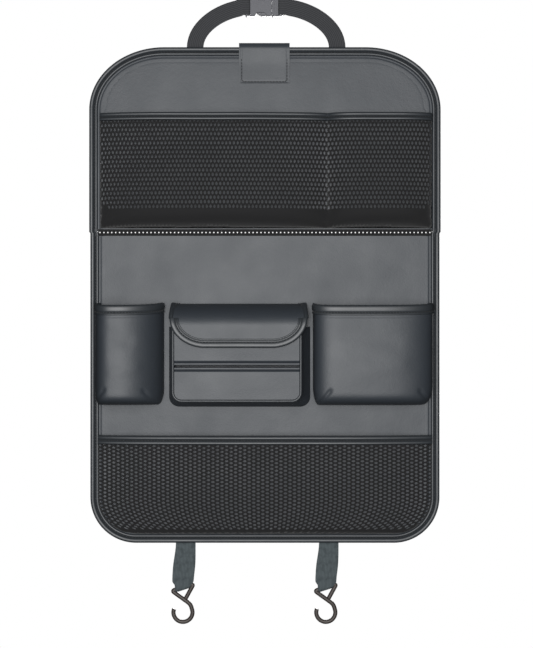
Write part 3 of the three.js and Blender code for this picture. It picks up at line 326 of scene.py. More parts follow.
def add(tree, kind, inputs=None, **settings):
    """Adds a shader node. Each input is a value, or another node's output socket to link."""
    node = tree.nodes.new(kind)
    for key, value in settings.items():
        setattr(node, key, value)
    for key, value in (inputs or {}).items():
        if isinstance(value, bpy.types.NodeSocket):
            tree.links.new(value, node.inputs[key])
        else:
            node.inputs[key].default_value = value
    return node


def material(name, colour, roughness, **constants):
    """A named material with a Principled shader. Returns it with its tree and its shader."""
    made = bpy.data.materials.new(name)
    made.use_nodes = True
    tree = made.node_tree
    shader = tree.nodes["Principled BSDF"]
    shader.inputs["Base Color"].default_value = srgb(colour)
    shader.inputs["Roughness"].default_value = roughness
    for key, value in constants.items():
        shader.inputs[key.replace("_", " ")].default_value = value
    return made, tree, shader


def noise(tree, where, scale, detail):
    """Cloudy noise. Returns the socket of its value, as the next three helpers do."""
    inputs = {"Vector": where, "Scale": scale, "Detail": detail}
    return add(tree, "ShaderNodeTexNoise", inputs).outputs["Fac"]


def relief(tree, height, strength, distance, over=None):
    """The normal of a bumpy surface, whose bumps may lie over those of another normal."""
    inputs = {"Height": height, "Strength": strength, "Distance": distance}
    if over is not None:
        inputs["Normal"] = over
    return add(tree, "ShaderNodeBump", inputs).outputs["Normal"]


def remap(tree, value, low, high, new_low=0.0, new_high=1.0):
    """A value from one range carried over into another."""
    inputs = {"Value": value, "From Min": low, "From Max": high, "To Min": new_low, "To Max": new_high}
    return add(tree, "ShaderNodeMapRange", inputs).outputs["Result"]


def maths(tree, operation, *values):
    """One step of arithmetic on up to three values."""
    return add(tree, "ShaderNodeMath", dict(enumerate(values)), operation=operation).outputs[0]


def coated_cloth(name, colour, roughness, grain=1.0):
    """Coated cloth. The pebbles give it its grain, and slow noise a slight unevenness."""
    made, tree, shader = material(name, colour, roughness, Specular_IOR_Level=0.62)
    where = add(tree, "ShaderNodeTexCoord").outputs["Object"]
    pebbles = add(tree, "ShaderNodeTexVoronoi", {"Vector": where, "Scale": 950.0},
                  feature="SMOOTH_F1")
    slow = noise(tree, where, 22.0, 2.0)
    fine = relief(tree, pebbles.outputs["Distance"], 0.35 * grain, 0.00025)
    middle = relief(tree, noise(tree, where, 210.0, 4.0), 0.25 * grain, 0.0005, fine)
    coarse = relief(tree, slow, 0.22, 0.0022, middle)
    tree.links.new(coarse, shader.inputs["Normal"])
    uneven = remap(tree, slow, 0.0, 1.0, roughness - 0.05, roughness + 0.06)
    tree.links.new(uneven, shader.inputs["Roughness"])
    return made


def woven(name, colour, dark, rib, pick, depth=0.0003, gather_shade=0.0):
    """Woven tape: ribs along it and picks across it, in the piece's own UV, in metres. The last
    argument is how far noise blots go towards its dark colour: painted shade, standing in for the
    shade in a gathered band's folds."""
    made, tree, shader = material(name, colour, 0.82, Specular_IOR_Level=0.25)
    where = add(tree, "ShaderNodeTexCoord").outputs["UV"]
    split = add(tree, "ShaderNodeSeparateXYZ", {"Vector": where})

    def wave(socket, size):
        """A sine wave that comes back every size metres along one axis of the UV."""
        return maths(tree, "SINE", maths(tree, "MULTIPLY", socket, 2 * math.pi / size))

    ribs = wave(split.outputs["Y"], rib)
    cross = maths(tree, "MULTIPLY", ribs, wave(split.outputs["X"], pick))
    level = remap(tree, maths(tree, "MULTIPLY_ADD", cross, 0.6, ribs), -1.6, 1.6)
    colours = add(tree, "ShaderNodeMix", {"Factor": level, "A": srgb(dark), "B": srgb(colour)},
                  data_type="RGBA")
    # painted shade: noise blots darken the band towards its dark colour, as the shade in its gathers
    # would
    gather_shade_blots = remap(tree, noise(tree, where, 160.0, 4.0), 0.45, 0.7, 0.0, gather_shade)
    mixed = add(tree, "ShaderNodeMix", {"Factor": gather_shade_blots, "A": colours.outputs["Result"],
                                        "B": srgb(dark)}, data_type="RGBA")
    tree.links.new(mixed.outputs["Result"], shader.inputs["Base Color"])
    tree.links.new(relief(tree, level, 0.8, depth), shader.inputs["Normal"])
    return made


def yarn(name, colour, roughness=0.85, scale=1400.0, depth=0.0003):
    """Plain fibre, such as knitted net, thread or non-woven cloth: fine noise, no shine."""
    made, tree, shader = material(name, colour, roughness, Specular_IOR_Level=0.25,
                                  Sheen_Weight=0.15, Sheen_Roughness=0.5)
    where = add(tree, "ShaderNodeTexCoord").outputs["Object"]
    fibres = relief(tree, noise(tree, where, scale, 3.0), 0.5, depth)
    tree.links.new(fibres, shader.inputs["Normal"])
    return made


FACE_CLOTH = coated_cloth("black_grey_coated_cloth", "#33383e", roughness=0.53)
TRIM_CLOTH = coated_cloth("coated_binding_tape", "#313539", roughness=0.45, grain=0.4)
NET_YARN = yarn("black_polyester_net", "#1f1f20")
LINING_CLOTH = yarn("black_nonwoven_lining", "#2b2c2e", scale=500.0)
THREAD = yarn("black_thread", "#1b1c1d", roughness=0.7)
HOOK_AND_LOOP = yarn("black_hook_and_loop", "#1c1c1d", scale=1600.0, depth=0.0006)
WEBBING = woven("grey_black_webbing", "#4a4b4e", "#28292b", rib=0.0021, pick=0.0016)
# the elastic's blots are painted shade of its gathers
ELASTIC = woven("green_grey_elastic", "#5d6669", "#3a4144", rib=0.0017, pick=0.0011,
                depth=0.00014, gather_shade=0.8)
BOARD_SHEET = material("white_polyethylene_board", "#d9d7cf", roughness=0.5)[0]
BUCKLE = material("grey_acetal", "#494a51", roughness=0.38, Specular_IOR_Level=0.5)[0]
WIRE = material("dark_bronze_coated_steel", "#433d3a", roughness=0.5, Metallic=0.2)[0]
print("materials", len(bpy.data.materials))


# %% [markdown]
# The panel has two sections that fold towards each other. Both are flat coated cloth over a
# board, so a flat grid with a little waviness is right. The waves are only tenths of a
# millimetre high, yet they are what keeps a flat dark sheet from looking like plastic.
# Beside the binding its seam draws the cloth down into a narrow valley, which shows as a dark
# line. A grid fine enough for that would be huge, so a border strip swept along the edge
# carries the valley, and it lies over the grid's rim.

# %% The two faces
SECTIONS = (("upper", True), ("lower", False))


def section(upper, inset=0.0):
    """Half width, far end, corner radii and direction of a section, at a distance inside."""
    half = (HALF_UPPER if upper else HALF_LOWER) - inset
    end = TOP - inset if upper else BOTTOM + inset
    wide, high = TOP_CORNER if upper else BOTTOM_CORNER
    return half, end, wide - inset, high - inset, 1 if upper else -1


def spread(u, half, wide):
    """Places across the width, closer together where the corners turn."""
    t = np.clip(u, 0, 1) * 2 - 1
    corner = np.clip(2 * np.abs(t) - 1, 0, 1)
    inner = (half - wide) * np.minimum(2 * np.abs(t), 1)
    return np.sign(t) * (inner + wide * np.sin(corner * math.pi / 2))


def edge_distance(x, z, upper):
    """How far a point is inside the section's outer edge, its rounded corners included."""
    half, end, wide, high, way = section(upper)
    past_x, past_z = np.abs(x) - (half - wide), way * z - (way * end - high)
    corner = (1 - np.hypot(past_x / wide, past_z / high)) * min(wide, high)
    straight = np.minimum(half - np.abs(x), way * (end - z))
    return np.where((past_x > 0) & (past_z > 0), corner, straight)


def section_surface(upper, inset, depth, rim_depth, turn_at):
    """A flat section: each column of the grid runs from the fold to the rounded far edge.
    Its rim lies deeper than its field, which it reaches a little past turn_at."""
    half, end, wide, high, way = section(upper, inset)
    fold = FOLD + way * 1.7

    def surface(u, v):
        x = spread(u, half, wide)
        past = np.clip((np.abs(x) - (half - wide)) / wide, 0, 1)
        far = end - way * high * (1 - np.sqrt(1 - past ** 2))
        t = v if not upper else 1 - v
        z = fold + (far - fold) * t
        waves = (0.10 * np.sin(x / 31 + z / 47) + 0.08 * np.sin(z / 19 - x / 67)
                 + 0.05 * np.sin(x / 11) * np.sin(z / 13))
        inside = edge_distance(x, z, upper)
        deep = rim_depth + (depth - rim_depth) * smooth((inside - turn_at) / 3.5)
        return place(x, deep - 0.09 + waves * smooth((inside - 18) / 20), z)

    return surface


def edge_path(upper, step):
    """The section's outer edge from the left end of the tape over to the right, and inwards."""
    half, end, wide, high, way = section(upper)
    start = FOLD + way * (TAPE / 2 + GAP)
    turn = np.linspace(0, math.pi / 2, 40)
    line = [[-half, start]]
    for side in (-1, 1):
        a = turn if side < 0 else turn[::-1]
        line += pair(side * (half - wide + wide * np.cos(a)),
                     end - way * high * (1 - np.sin(a))).tolist()
    line = even(line + [[half, start]], step)
    ahead = unit(np.gradient(line, axis=0)) * way
    return place(line[:, 0], 0, line[:, 1]), place(ahead[:, 1], 0, -ahead[:, 0])


BORDER_OUTLINE = [
    (2.0, 4.2), (9.6, 4.4), (10.2, 4.2), (10.7, 3.5), (11.2, 2.6), (11.5, 2.6), (12.1, 3.5),
    (12.8, 4.3), (13.8, 4.56), (16.0, 4.56), (22.0, 4.4), (22.0, 4.1), (13.8, 4.0), (12.6, 3.4),
    (11.5, 2.4), (11.1, 2.4), (10.2, 3.6), (2.0, 3.7),
]

for key, upper in SECTIONS:
    size = (418, 219) if upper else (415, 370)
    surface = section_surface(upper, inset=2.2, depth=FACE, rim_depth=FACE - 0.9, turn_at=13.0)
    face = sheet(f"{key}_cloth", surface, 140, 70 if upper else 110, thickness=0.8)
    path, inside = edge_path(upper, step=3)
    out = facing(path, 0, 1, 0)
    border = sweep(f"{key}_border", path, inside, out, rounded(BORDER_OUTLINE))
    settle(joined(f"{key}_cloth", [face, border]), FACE_CLOTH, "coated_fabric", f"{key}_face",
           cut=(*size, "stretched", f"{key}_board"))
    surface = section_surface(upper, inset=1.9, depth=1.3, rim_depth=2.9, turn_at=10.5)
    backing = sheet(f"{key}_backing", surface, 80, 50, thickness=1.1)
    settle(backing, LINING_CLOTH, "lining_cloth", f"{key}_lining",
           cut=(*size, "stretched", f"{key}_board"))
    settle(frame["nodes"][f"{key}_board"], BOARD_SHEET, "stiffener")
print("faces done")


# %% [markdown]
# The binding is the most telling detail: a tape folded over a cord, so it has a round roll at
# the very edge, a stitched groove inside it, and the tape's turned edge inside that. Sweeping
# one closed outline round the edge gives all of it. A row of stitches lies in the groove.

# %% The bound edge
BINDING_OUTLINE = [
    (9.6, 1.5), (9.6, 0.3), (5.0, 0.25), (1.6, 0.3), (0.15, 1.5), (0.0, 3.4), (0.1, 5.3),
    (0.6, 6.9), (1.4, 7.75), (2.9, 8.0), (4.3, 7.75), (5.1, 6.8), (6.1, 4.95), (6.4, 4.95),
    (7.0, 6.3), (7.5, 6.95), (8.4, 7.1), (9.3, 6.95), (9.9, 6.0), (10.1, 4.8), (9.8, 4.6),
    (5.0, 4.7), (1.7, 4.7), (1.6, 1.6), (5.0, 1.5),
]


def puckered(obj, path, size):
    """Lets the cloth rise and fall a little between stitches, as a sewn roll does: a sine of
    the stitches' pitch with two slower ones, on the outline's front only."""
    mesh = obj.data
    points = np.empty(len(mesh.vertices) * 3)
    mesh.vertices.foreach_get("co", points)
    points = points.reshape(len(path), -1, 3)
    along = distances(path)
    wave = size * (np.sin(2 * math.pi * along / STITCH_PITCH) + 0.6 * np.sin(along / 17.3)
                   + 0.5 * np.sin(along / 7.1 + 2))
    front = np.clip((-points[..., 1] * 1000 - SEAT) / 2.5, 0, 1)
    points[..., 1] -= (wave[:, None] - size * 2.1) * front * 0.001
    mesh.vertices.foreach_set("co", points.ravel())
    mesh.update()


def sew(name, path, out, slot="binding_tape"):
    """A row of stitches along a path, in black thread."""
    settle(stitches(name, path, out), THREAD, slot)


for key, upper in SECTIONS:
    path, inside = edge_path(upper, step=1.5)
    out = facing(path, 0, 1, 0)
    rim = sweep(f"{key}_edge_binding", path, inside, out, rounded(BINDING_OUTLINE))
    puckered(rim, path, size=0.07)
    settle(rim, TRIM_CLOTH, "binding_tape", f"{key}_binding",
           cut=(28, 870 if upper else 1090, "folded", f"{key}_face"))
    sew(f"{key}_edge_stitches", path + inside * 6.45 + out * 5.0, out)
print("binding done")


# %% [markdown]
# The joining tape has one row of small round holes along the fold. Cutting holes with
# booleans is slow and leaves a poor mesh. Here a square cell with a ring of points round a
# hole is repeated along the strip instead, which is how the net below is made too.

# %% Cells with a hole in them
def holed_cell(wide, high, hole_wide, hole_high):
    """The eight outer points of a cell and the eight round its oval hole, anticlockwise."""
    x = np.array([1, 1, 0, -1, -1, -1, 0, 1]) * wide / 2
    y = np.array([0, 1, 1, 1, 0, -1, -1, -1]) * high / 2
    angle = np.arctan2(y / high, x / wide)
    return pair(x, y), pair(np.cos(angle) * hole_wide / 2, np.sin(angle) * hole_high / 2)


def lattice(name, surface, centres, outer, inner, thickness, *plain):
    """A sheet made of cells with holes. surface(points) turns flat (x, z) points, which also
    serve as the UV, into places. plain is pairs of centres and outline, without a hole."""
    m = len(outer)
    flat = np.concatenate([outer, inner])
    points = (np.asarray(centres)[:, None] + flat[None]).reshape(-1, 2)
    ring = np.arange(m)
    quad = np.stack([ring, (ring + 1) % m, (ring + 1) % m + m, ring + m], axis=-1)
    groups = [(quad[None] + (np.arange(len(centres)) * 2 * m)[:, None, None]).reshape(-1, 4)]
    for middles, outline in plain:
        groups.append(np.arange(len(middles))[:, None] * m + ring[None] + len(points))
        solid = (np.asarray(middles)[:, None] + outline[None]).reshape(-1, 2)
        points = np.concatenate([points, solid])
    near = np.round(points * 200).astype(np.int64)
    _, first, same = np.unique(near, axis=0, return_index=True, return_inverse=True)
    flat = points[first]
    faces = sum([same.ravel()[group].tolist() for group in groups], [])
    obj = finish_mesh(name, surface(flat), faces, flat * 0.001, sharp=60, closed=False)
    wall = obj.modifiers.new("thickness", "SOLIDIFY")
    wall.thickness = thickness * 0.001
    wall.offset = -1
    return obj


reach = HALF_UPPER - BINDING - 0.5
holes = 85
pitch = 2 * reach / holes
outer, inner = holed_cell(pitch, TAPE - 0.2, hole_wide=1.7, hole_high=1.7)
centres = pair((np.arange(holes) + 0.5) * pitch - reach, 0.0)


def tape_surface(p):
    """A flat strip with a bell-shaped valley along its middle, where the panel folds."""
    valley = 0.35 * np.exp(-(p[:, 1] / 1.6) ** 2) + 0.25 * smooth((np.abs(p[:, 1]) - 3) / 0.8)
    return place(p[:, 0], SEAT + 1.0 - valley, FOLD + p[:, 1])


tape = lattice("perforated_tape", tape_surface, centres, outer, inner, thickness=0.6)
ends = []
for side in (-1, 1):
    z = np.linspace(-TAPE / 2, TAPE / 2, 9)
    half = HALF_LOWER + (HALF_UPPER - HALF_LOWER) * smooth((z + 1) / 2)
    path = place(side * half, 0, FOLD + z)
    ends.append(sweep(f"tape_end_{side + 1}", path, facing(path, -side, 0, 0),
                      facing(path, 0, 1, 0), rounded(BINDING_OUTLINE)))
settle(tape, NET_YARN, "binding_tape", "joining_tape")
settle(joined("perforated_tape_ends", ends), TRIM_CLOTH, "binding_tape")
print("tape with", holes, "holes")


# %% [markdown]
# Each net is knitted with small oval holes in staggered rows, about 3,600 in all. A
# picture of a net would look flat from the side, so the holes are real. A cell is a small
# rectangle with an oval hole, every second row, or in the lower net every second column, is
# moved by half a cell, and the whole flat lattice is then bent onto the pocket's bulge.

# %% The net pockets
def superlobe(across, power, fullness):
    """1 in the middle of a lobe and 0 at its seams, with the given squareness."""
    return np.clip(1 - np.abs(across) ** power, 0, 1) ** fullness


up = box("upper_net")
NET_LEFT, NET_RIGHT, NET_TOP, NET_FOOT = up[0] - 1.8, up[1] + 1.8, up[5] - 0.1, up[4] - 0.6
DIVIDER = 75.0
NET_FOLD = 101.0
NET = 0.6
NET_PITCH = (4.5, 5.4)
NET_HOLE = (2.95, 4.45)


def upper_net_depth(x, z):
    """Two lobes side by side that swell downwards and then fold back to the seam."""
    place_in = np.where(x < DIVIDER, (x - NET_LEFT) / (DIVIDER - NET_LEFT),
                        (x - DIVIDER) / (NET_RIGHT - DIVIDER))
    lobe = superlobe(2 * place_in - 1, power=3.2, fullness=0.6)
    down = (NET_TOP - z) / (NET_TOP - NET_FOLD)
    below = np.clip(NET_FOLD - z, 0, None) / (NET_FOLD - NET_FOOT)
    full = 11.5 + 13.5 * np.clip(down, 0, 1)
    waves = lobe * (0.5 * np.sin(x / 17 + z / 23) + 0.4 * np.sin(x / 41 - z / 11))
    lift = 3.8 * np.clip(1 - 4 * (NET_TOP - z) / (NET_TOP - NET_FOOT), 0, 1)
    close = np.clip(1 - below ** 2.2, 0, 1) ** 0.7
    return SEAT + 1.2 + lift + (full * lobe + waves) * close


def upper_net_place(p):
    """A flat point of the upper net, carried out to its bulge."""
    return place(p[:, 0], upper_net_depth(p[:, 0], p[:, 1]), p[:, 1])


def net_cells(left, right, top, foot, pitch_x, pitch_z, sideways):
    """Centres of the cells with holes and of the solid half cells that finish the rows, or
    where the net lies sideways, the columns."""
    columns = int(round((right - left) / pitch_x))
    rows = int(round((top - foot) / pitch_z))
    px, pz = (right - left) / columns, (top - foot) / rows
    j, i = np.meshgrid(np.arange(rows), np.arange(columns), indexing="ij")
    moved_x = np.zeros_like(j) if sideways else j % 2
    moved_z = i % 2 if sideways else np.zeros_like(j)
    cells = pair(left + (i + 0.5 + 0.5 * moved_x) * px, foot + (j + 0.5 + 0.5 * moved_z) * pz)
    keep = (cells[..., 0] < right - 0.4 * px) & (cells[..., 1] < top - 0.4 * pz)
    if sideways:
        line = left + (np.arange(1, columns, 2) + 0.5) * px
        halves = [pair(line, foot + pz / 4), pair(line, top - pz / 4)]
    else:
        line = foot + (np.arange(1, rows, 2) + 0.5) * pz
        halves = [pair(left + px / 4, line), pair(right - px / 4, line)]
    return cells[keep], np.concatenate(halves), px, pz


def shut(cells, left, right, foot, corner):
    """Which cells have no hole: those below foot, and those in its rounded corners."""
    x, z = cells[:, 0], cells[:, 1]
    past_x = np.maximum(np.maximum(left + corner - x, x - right + corner), 0)
    past_z = np.maximum(foot + corner - z, 0)
    return (np.hypot(past_x, past_z) > corner) | (z < foot)


def knit(key, surface, area, plain_foot, corner, flat, sideways=False):
    """A net over an area given as left, right, top and foot. Below plain_foot and in the
    rounded corners its cells are left without a hole."""
    wide, high = NET_PITCH[::-1] if sideways else NET_PITCH
    hole = NET_HOLE[::-1] if sideways else NET_HOLE
    left, right, top, foot = area
    centres, halves, px, pz = net_cells(left, right, top - 0.4, foot, wide, high, sideways)
    outer, inner = holed_cell(px, pz, *hole)
    closed = shut(centres, left, right, plain_foot, corner)
    half_cell = outer * ([1, 0.5] if sideways else [0.5, 1])
    net = lattice(f"{key}_net_cloth", surface, centres[~closed], outer, inner, NET,
                  (halves, half_cell), (centres[closed], outer))
    settle(net, NET_YARN, "net_cloth", f"{key}_net", cut=(*flat, "gathered", f"{key}_face"))
    print(key, "net with", np.count_nonzero(~closed), "holes")


knit("upper", upper_net_place, (NET_LEFT, NET_RIGHT, NET_TOP, NET_FOOT),
     plain_foot=NET_FOLD + 1, corner=18, flat=(430, 160))

low = box("lower_net")
LOW_HALF, LOW_TOP, LOW_FOOT = low[1] + 1.4, low[5] - 0.1, low[4] + 0.1
LOW_CORNER = BOTTOM_CORNER[0] - BINDING


def lower_net_place(p):
    """A flat point of the lower net, carried out to a flattened bulge that is 13 mm high and
    falls to nothing at the sides and the foot. Its sides follow the rounded corners."""
    x, z = p[:, 0], p[:, 1]
    drop = np.clip(LOW_FOOT + LOW_CORNER - z, 0, LOW_CORNER)
    half = LOW_HALF - LOW_CORNER + np.sqrt(LOW_CORNER ** 2 - drop ** 2)
    v = np.clip((LOW_TOP - z) / (LOW_TOP - LOW_FOOT), 0, 1)
    across = x / LOW_HALF
    lobe = superlobe(across, power=4, fullness=0.7) * np.clip(1 - v ** 6, 0, 1) ** 0.6
    lift = 3.8 * np.clip(1 - 4 * v, 0, 1)
    waves = lobe * (0.4 * np.sin(x / 23 + z / 17) + 0.3 * np.sin(x / 53 - z / 9))
    return place(across * half, SEAT + 1.2 + lift + 13 * lobe + waves, z)


knit("lower", lower_net_place, (-LOW_HALF, LOW_HALF, LOW_TOP, LOW_FOOT),
     plain_foot=LOW_FOOT + 5, corner=12, flat=(410, 125), sideways=True)


# %% [markdown]
# The mouth of each net is closed by a band of coated cloth, folded over the net and sewn
# through with one row of stitches that sinks into it.

# %% The bands on the nets
def band_outline(height):
    """A band's outline: distances down from the net's edge and out from its surface."""
    low, high = 0.78 * height, 0.2 * height
    return [(height, 0.4), (height - 0.2, 1.8), (low + 1.4, 3.2), (low + 0.6, 3.5),
            (low - 0.7, 3.4), (low - 1.5, 2.8), (height * 0.5 + 0.2, 1.4),
            (height * 0.5 - 0.2, 1.4), (high + 1.5, 2.8), (high + 0.7, 3.45), (high - 0.8, 3.45),
            (high - 1.4, 3.0), (-0.7, 2.0), (-1.0, -1.6), (-0.2, -3.3), (height * 0.5, -3.3),
            (height * 0.8, -3.2), (height * 0.8, -2.5), (0, -2.4), (-0.3, -1), (-0.3, 0.8)]


for key, surface, left, right, top in (
    ("upper", upper_net_place, NET_LEFT, NET_RIGHT, NET_TOP),
    ("lower", lower_net_place, -LOW_HALF, LOW_HALF, LOW_TOP),
):
    path = surface(pair(np.linspace(left, right, 260), top))
    edges = box(f"{key}_net_band")
    height = edges[5] - edges[4] - 1.7
    inside, out = facing(path, 0, 0, -1), facing(path, 0, 1, 0)
    band = sweep(f"{key}_net_band_cloth", path, inside, out, rounded(band_outline(height)))
    settle(band, TRIM_CLOTH, "binding_tape", f"{key}_net_band",
           cut=(410, 27, "folded", f"{key}_face"))
    sew(f"{key}_net_band_stitches", path + inside * height * 0.5 + out * 1.6, out)
z = np.linspace(NET_TOP - 10, NET_FOOT + 2, 60)
seam = place(DIVIDER, upper_net_depth(np.full_like(z, DIVIDER), z) + 0.1, z)
sew("divider_stitches", seam, place(0, 1, 0), "net_cloth")
print("bands done")


# %% [markdown]
# A bellows of coated cloth makes the bottle pocket and the wide pocket. In section each is
# half of a swollen ellipse, fuller on one side than on the other, and at the bottom the
# section closes down to the panel. Small darts at the lower corners take up the spare cloth,
# and each leaves a slanting crease.

# %% The bottle pocket and the wide pocket
POCKET_CLOTH = 1.4
MOUTH = -13.6


def crease(x, z, start, end, width, size):
    """A soft fold along a line, size high in the middle and nothing past its ends."""
    a, b = np.array(start), np.array(end)
    along = (b - a) / np.linalg.norm(b - a)
    t = ((x - a[0]) * along[0] + (z - a[1]) * along[1]) / np.linalg.norm(b - a)
    off = (x - a[0]) * along[1] - (z - a[1]) * along[0]
    return size * np.exp(-(off / width) ** 2) * smooth(t * 4) * smooth((1 - t) * 4)


def pocket_surface(node, crest, depth, powers, curve, undercut, folds):
    """The same form as the CAD pocket, with the folds that cloth falls into. u runs round half
    a superellipse from left to right, and v down the wall and round a quarter turn to the
    foot. powers, curve and undercut are its squareness, its foot's radius and how far each
    side turns in at the panel."""
    left, right, _, _, bottom, _ = box(node)
    left, right = left + (5.0 if undercut[0] else 0), right - (3.5 if undercut[1] else 0)

    def surface(u, v):
        angle = math.pi * u
        power = np.where(u < 0.5, powers[0], powers[1])
        side = np.clip(np.abs(np.cos(angle)), 0, 1) ** power
        swell = np.clip(np.sin(angle), 0, 1) ** power
        straight = MOUTH - bottom - curve
        share = straight / (straight + 1.4 * curve)
        turn = np.clip(v - share, 0, None) / (1 - share) * math.pi / 2
        fullness = (np.clip(1 - np.sin(turn) ** 5, 0, 1) ** 0.45
                    * (0.93 + 0.07 * smooth(v / share)))
        top = MOUTH + 4.2 * (1 - swell)
        upper_z = top + (MOUTH - straight - top) * np.clip(v / share, 0, 1)
        z = np.where(turn > 0, MOUTH - straight - curve * np.sin(turn), upper_z)
        deep = SEAT + depth * swell * fullness
        bare = 1 - smooth((deep - SEAT) / 9)
        shift = np.where(u < 0.5, undercut[0] * bare, -undercut[1] * bare)
        width = np.where(u < 0.5, left - crest, right - crest)
        x = crest + width * side * (1 - 0.14 * (1 - np.cos(turn))) + shift
        soft = sum(crease(x, z, *fold) for fold in folds)
        ease = smooth((deep - SEAT) / 12)
        dent = -0.6 * bump(top - upper_z, 12.2, 1.6) * ease
        return place(x, deep + soft * ease + np.where(turn > 0, 0, dent), z)

    return surface


BOTTLE = pocket_surface(
    "bottle_pocket", crest=-177.0, depth=46.0, powers=(0.62, 0.95), curve=20.0, undercut=(3.3, 0),
    folds=[((-203, -131), (-186, -108), 2.2, -1.7), ((-128, -131), (-146, -110), 2.2, -1.7),
           ((-200, -40), (-150, -60), 9.0, -0.7), ((-190, -95), (-140, -84), 8.0, 0.5)])
WIDE = pocket_surface(
    "wide_pocket", crest=106.0, depth=38.0, powers=(0.45, 0.6), curve=24.0, undercut=(0, 3.1),
    folds=[((62, -132), (80, -110), 2.4, -1.8), ((198, -132), (180, -110), 2.4, -1.8),
           ((80, -45), (170, -58), 11.0, -0.6), ((100, -92), (180, -80), 10.0, 0.5)])

HEM_OUTLINE = [
    (10.8, 0.3), (10.9, 1.3), (10.2, 1.9), (9.3, 1.9), (8.6, 1.2), (8.0, 0.9), (7.3, 1.2),
    (6.5, 1.9), (4.8, 2.1), (2.4, 2.2), (0.6, 1.9), (-0.7, 0.9), (-1.2, -0.8), (-0.9, -2.3),
    (0.3, -2.9), (4, -2.8), (8, -2.8), (8, -2.0), (4, -1.95), (0, -1.9), (-0.3, -1), (-0.3, 0.2),
    (4, 0.3),
]


def hem(node, surface):
    """A strip folded over a pocket's mouth, with its row of stitches."""
    u = np.linspace(0.06, 0.94, 96)
    top, below = surface(*np.meshgrid(u, [0, 0.12]))
    out = outwards(np.stack([top, below]))[0]
    inside = unit(below - top)
    strip = sweep(f"{node}_cloth", top, inside, out, rounded(HEM_OUTLINE))
    settle(strip, TRIM_CLOTH, "binding_tape", node,
           cut=(distances(top)[-1], 30, "folded", node.replace("_hem", "")))
    seam = top + inside * 8.0 + out * 0.95
    sew(f"{node}_cloth_stitches", seam[2:-2], out[2:-2])


for key, surface, wide in (("bottle", BOTTLE, 150), ("wide", WIDE, 190)):
    body = sheet(f"{key}_pocket_cloth", surface, 120, 90, POCKET_CLOTH, SEAT)
    settle(body, FACE_CLOTH, "coated_fabric", f"{key}_pocket", cut=(wide, 130, "hung", "lower_face"))
    hem(f"{key}_pocket_hem", surface)
print("pockets done")


# %% [markdown]
# The tissue pocket is built like a small box: a gusset stands on the panel, a flat front
# closes it, and piping covers the seam between them. The front is cut across, and both cut
# edges are rolled into soft lips, between which the tissues come out.

# %% The tissue pocket
def u_line(left, right, top, bottom):
    """Down the left side, round the bottom and up the right side, and the way inwards."""
    turn = np.linspace(0, math.pi / 2, 24)
    near, far = U_CORNER * (1 - np.cos(turn)), U_CORNER * (1 - np.sin(turn))
    down = np.linspace(top, bottom + U_CORNER, 30)[:-1]
    line = np.concatenate([pair(left, down), pair(left + near, bottom + far),
                           pair(right - far, bottom + near), pair(right, down[::-1])])
    line = even(line, 2.0)
    ahead = unit(np.gradient(line, axis=0))
    return line, pair(-ahead[:, 1], ahead[:, 0])


def recounted(line, count=160):
    """The same line with another number of points."""
    return read_between(np.linspace(0, 1, count), np.linspace(0, 1, len(line)), line)


U_CORNER = 12
root = box("tissue_gusset")
cord = box("tissue_piping")
FRONT = cord[2]
PIPE = cord[3] - cord[2]
RIM_TOP = root[5] + 8
rim_line, rim_in = u_line(cord[0], cord[1], RIM_TOP, cord[4])
edge_line = recounted(rim_line)
root_line = recounted(u_line(root[0] + 3.5, root[1], RIM_TOP, root[4])[0])


def gusset_surface(u, v):
    """A strip from the front's edge back to the panel, dished a little by its own slack."""
    t = 1 - v
    reach = smooth(t) * 0.4 + t * 0.6
    index = u * (len(root_line) - 1)
    low = np.clip(np.floor(index).astype(int), 0, len(root_line) - 2)
    part = (index - low)[..., None]
    a = root_line[low] * (1 - part) + root_line[low + 1] * part
    b = edge_line[low] * (1 - part) + edge_line[low + 1] * part
    p = a + (b - a) * reach[..., None]
    middle = (root_line.mean(axis=0) + edge_line.mean(axis=0)) / 2
    dish = 1.2 * np.sin(math.pi * np.clip(v, 0, 1))[..., None]
    p = p + unit(middle - p) * dish
    return place(p[..., 0], SEAT + (FRONT - GAP - SEAT) * t, p[..., 1])


settle(sheet("tissue_gusset_cloth", gusset_surface, 159, 12, POCKET_CLOTH, SEAT),
       FACE_CLOTH, "coated_fabric", "tissue_gusset", cut=(320, 34, "hung", "lower_face"))
middle_line = rim_line + rim_in * PIPE / 2
path = place(middle_line[:, 0], FRONT + PIPE / 2, middle_line[:, 1])
settle(tube("tissue_piping_roll", path, PIPE / 2 - 0.05), TRIM_CLOTH, "binding_tape",
       "tissue_piping")


def tissue_front(node, above):
    """A flat front with its edge along the slit rolled into a lip, and pressed in behind it."""
    left, right, _, _, low_z, high_z = box(node)
    corner = 8.5

    def surface(u, v):
        z = high_z + (low_z - high_z) * v
        off = (z - low_z) if above else (high_z - z)
        lip = 1.7 * np.sqrt(np.clip(1 - ((off - 1.55) / 1.6) ** 4, 0, 1))
        press = -1.4 * bump(off, 4.1, 0.9)
        drop = 0 if above else np.clip(low_z + corner - z, 0, corner)
        narrow = corner - np.sqrt(np.clip(corner ** 2 - drop ** 2, 0, None))
        x = left + narrow + (right - left - 2 * narrow) * u
        bulge = 0.5 * np.sin(math.pi * u) * smooth((off - 6) / 20)
        waves = 0.12 * np.sin(x / 9 + z / 21) + 0.1 * np.sin(x / 23 - z / 7)
        return place(x, FRONT + 1.55 + lip + press + bulge + waves, z)

    return surface


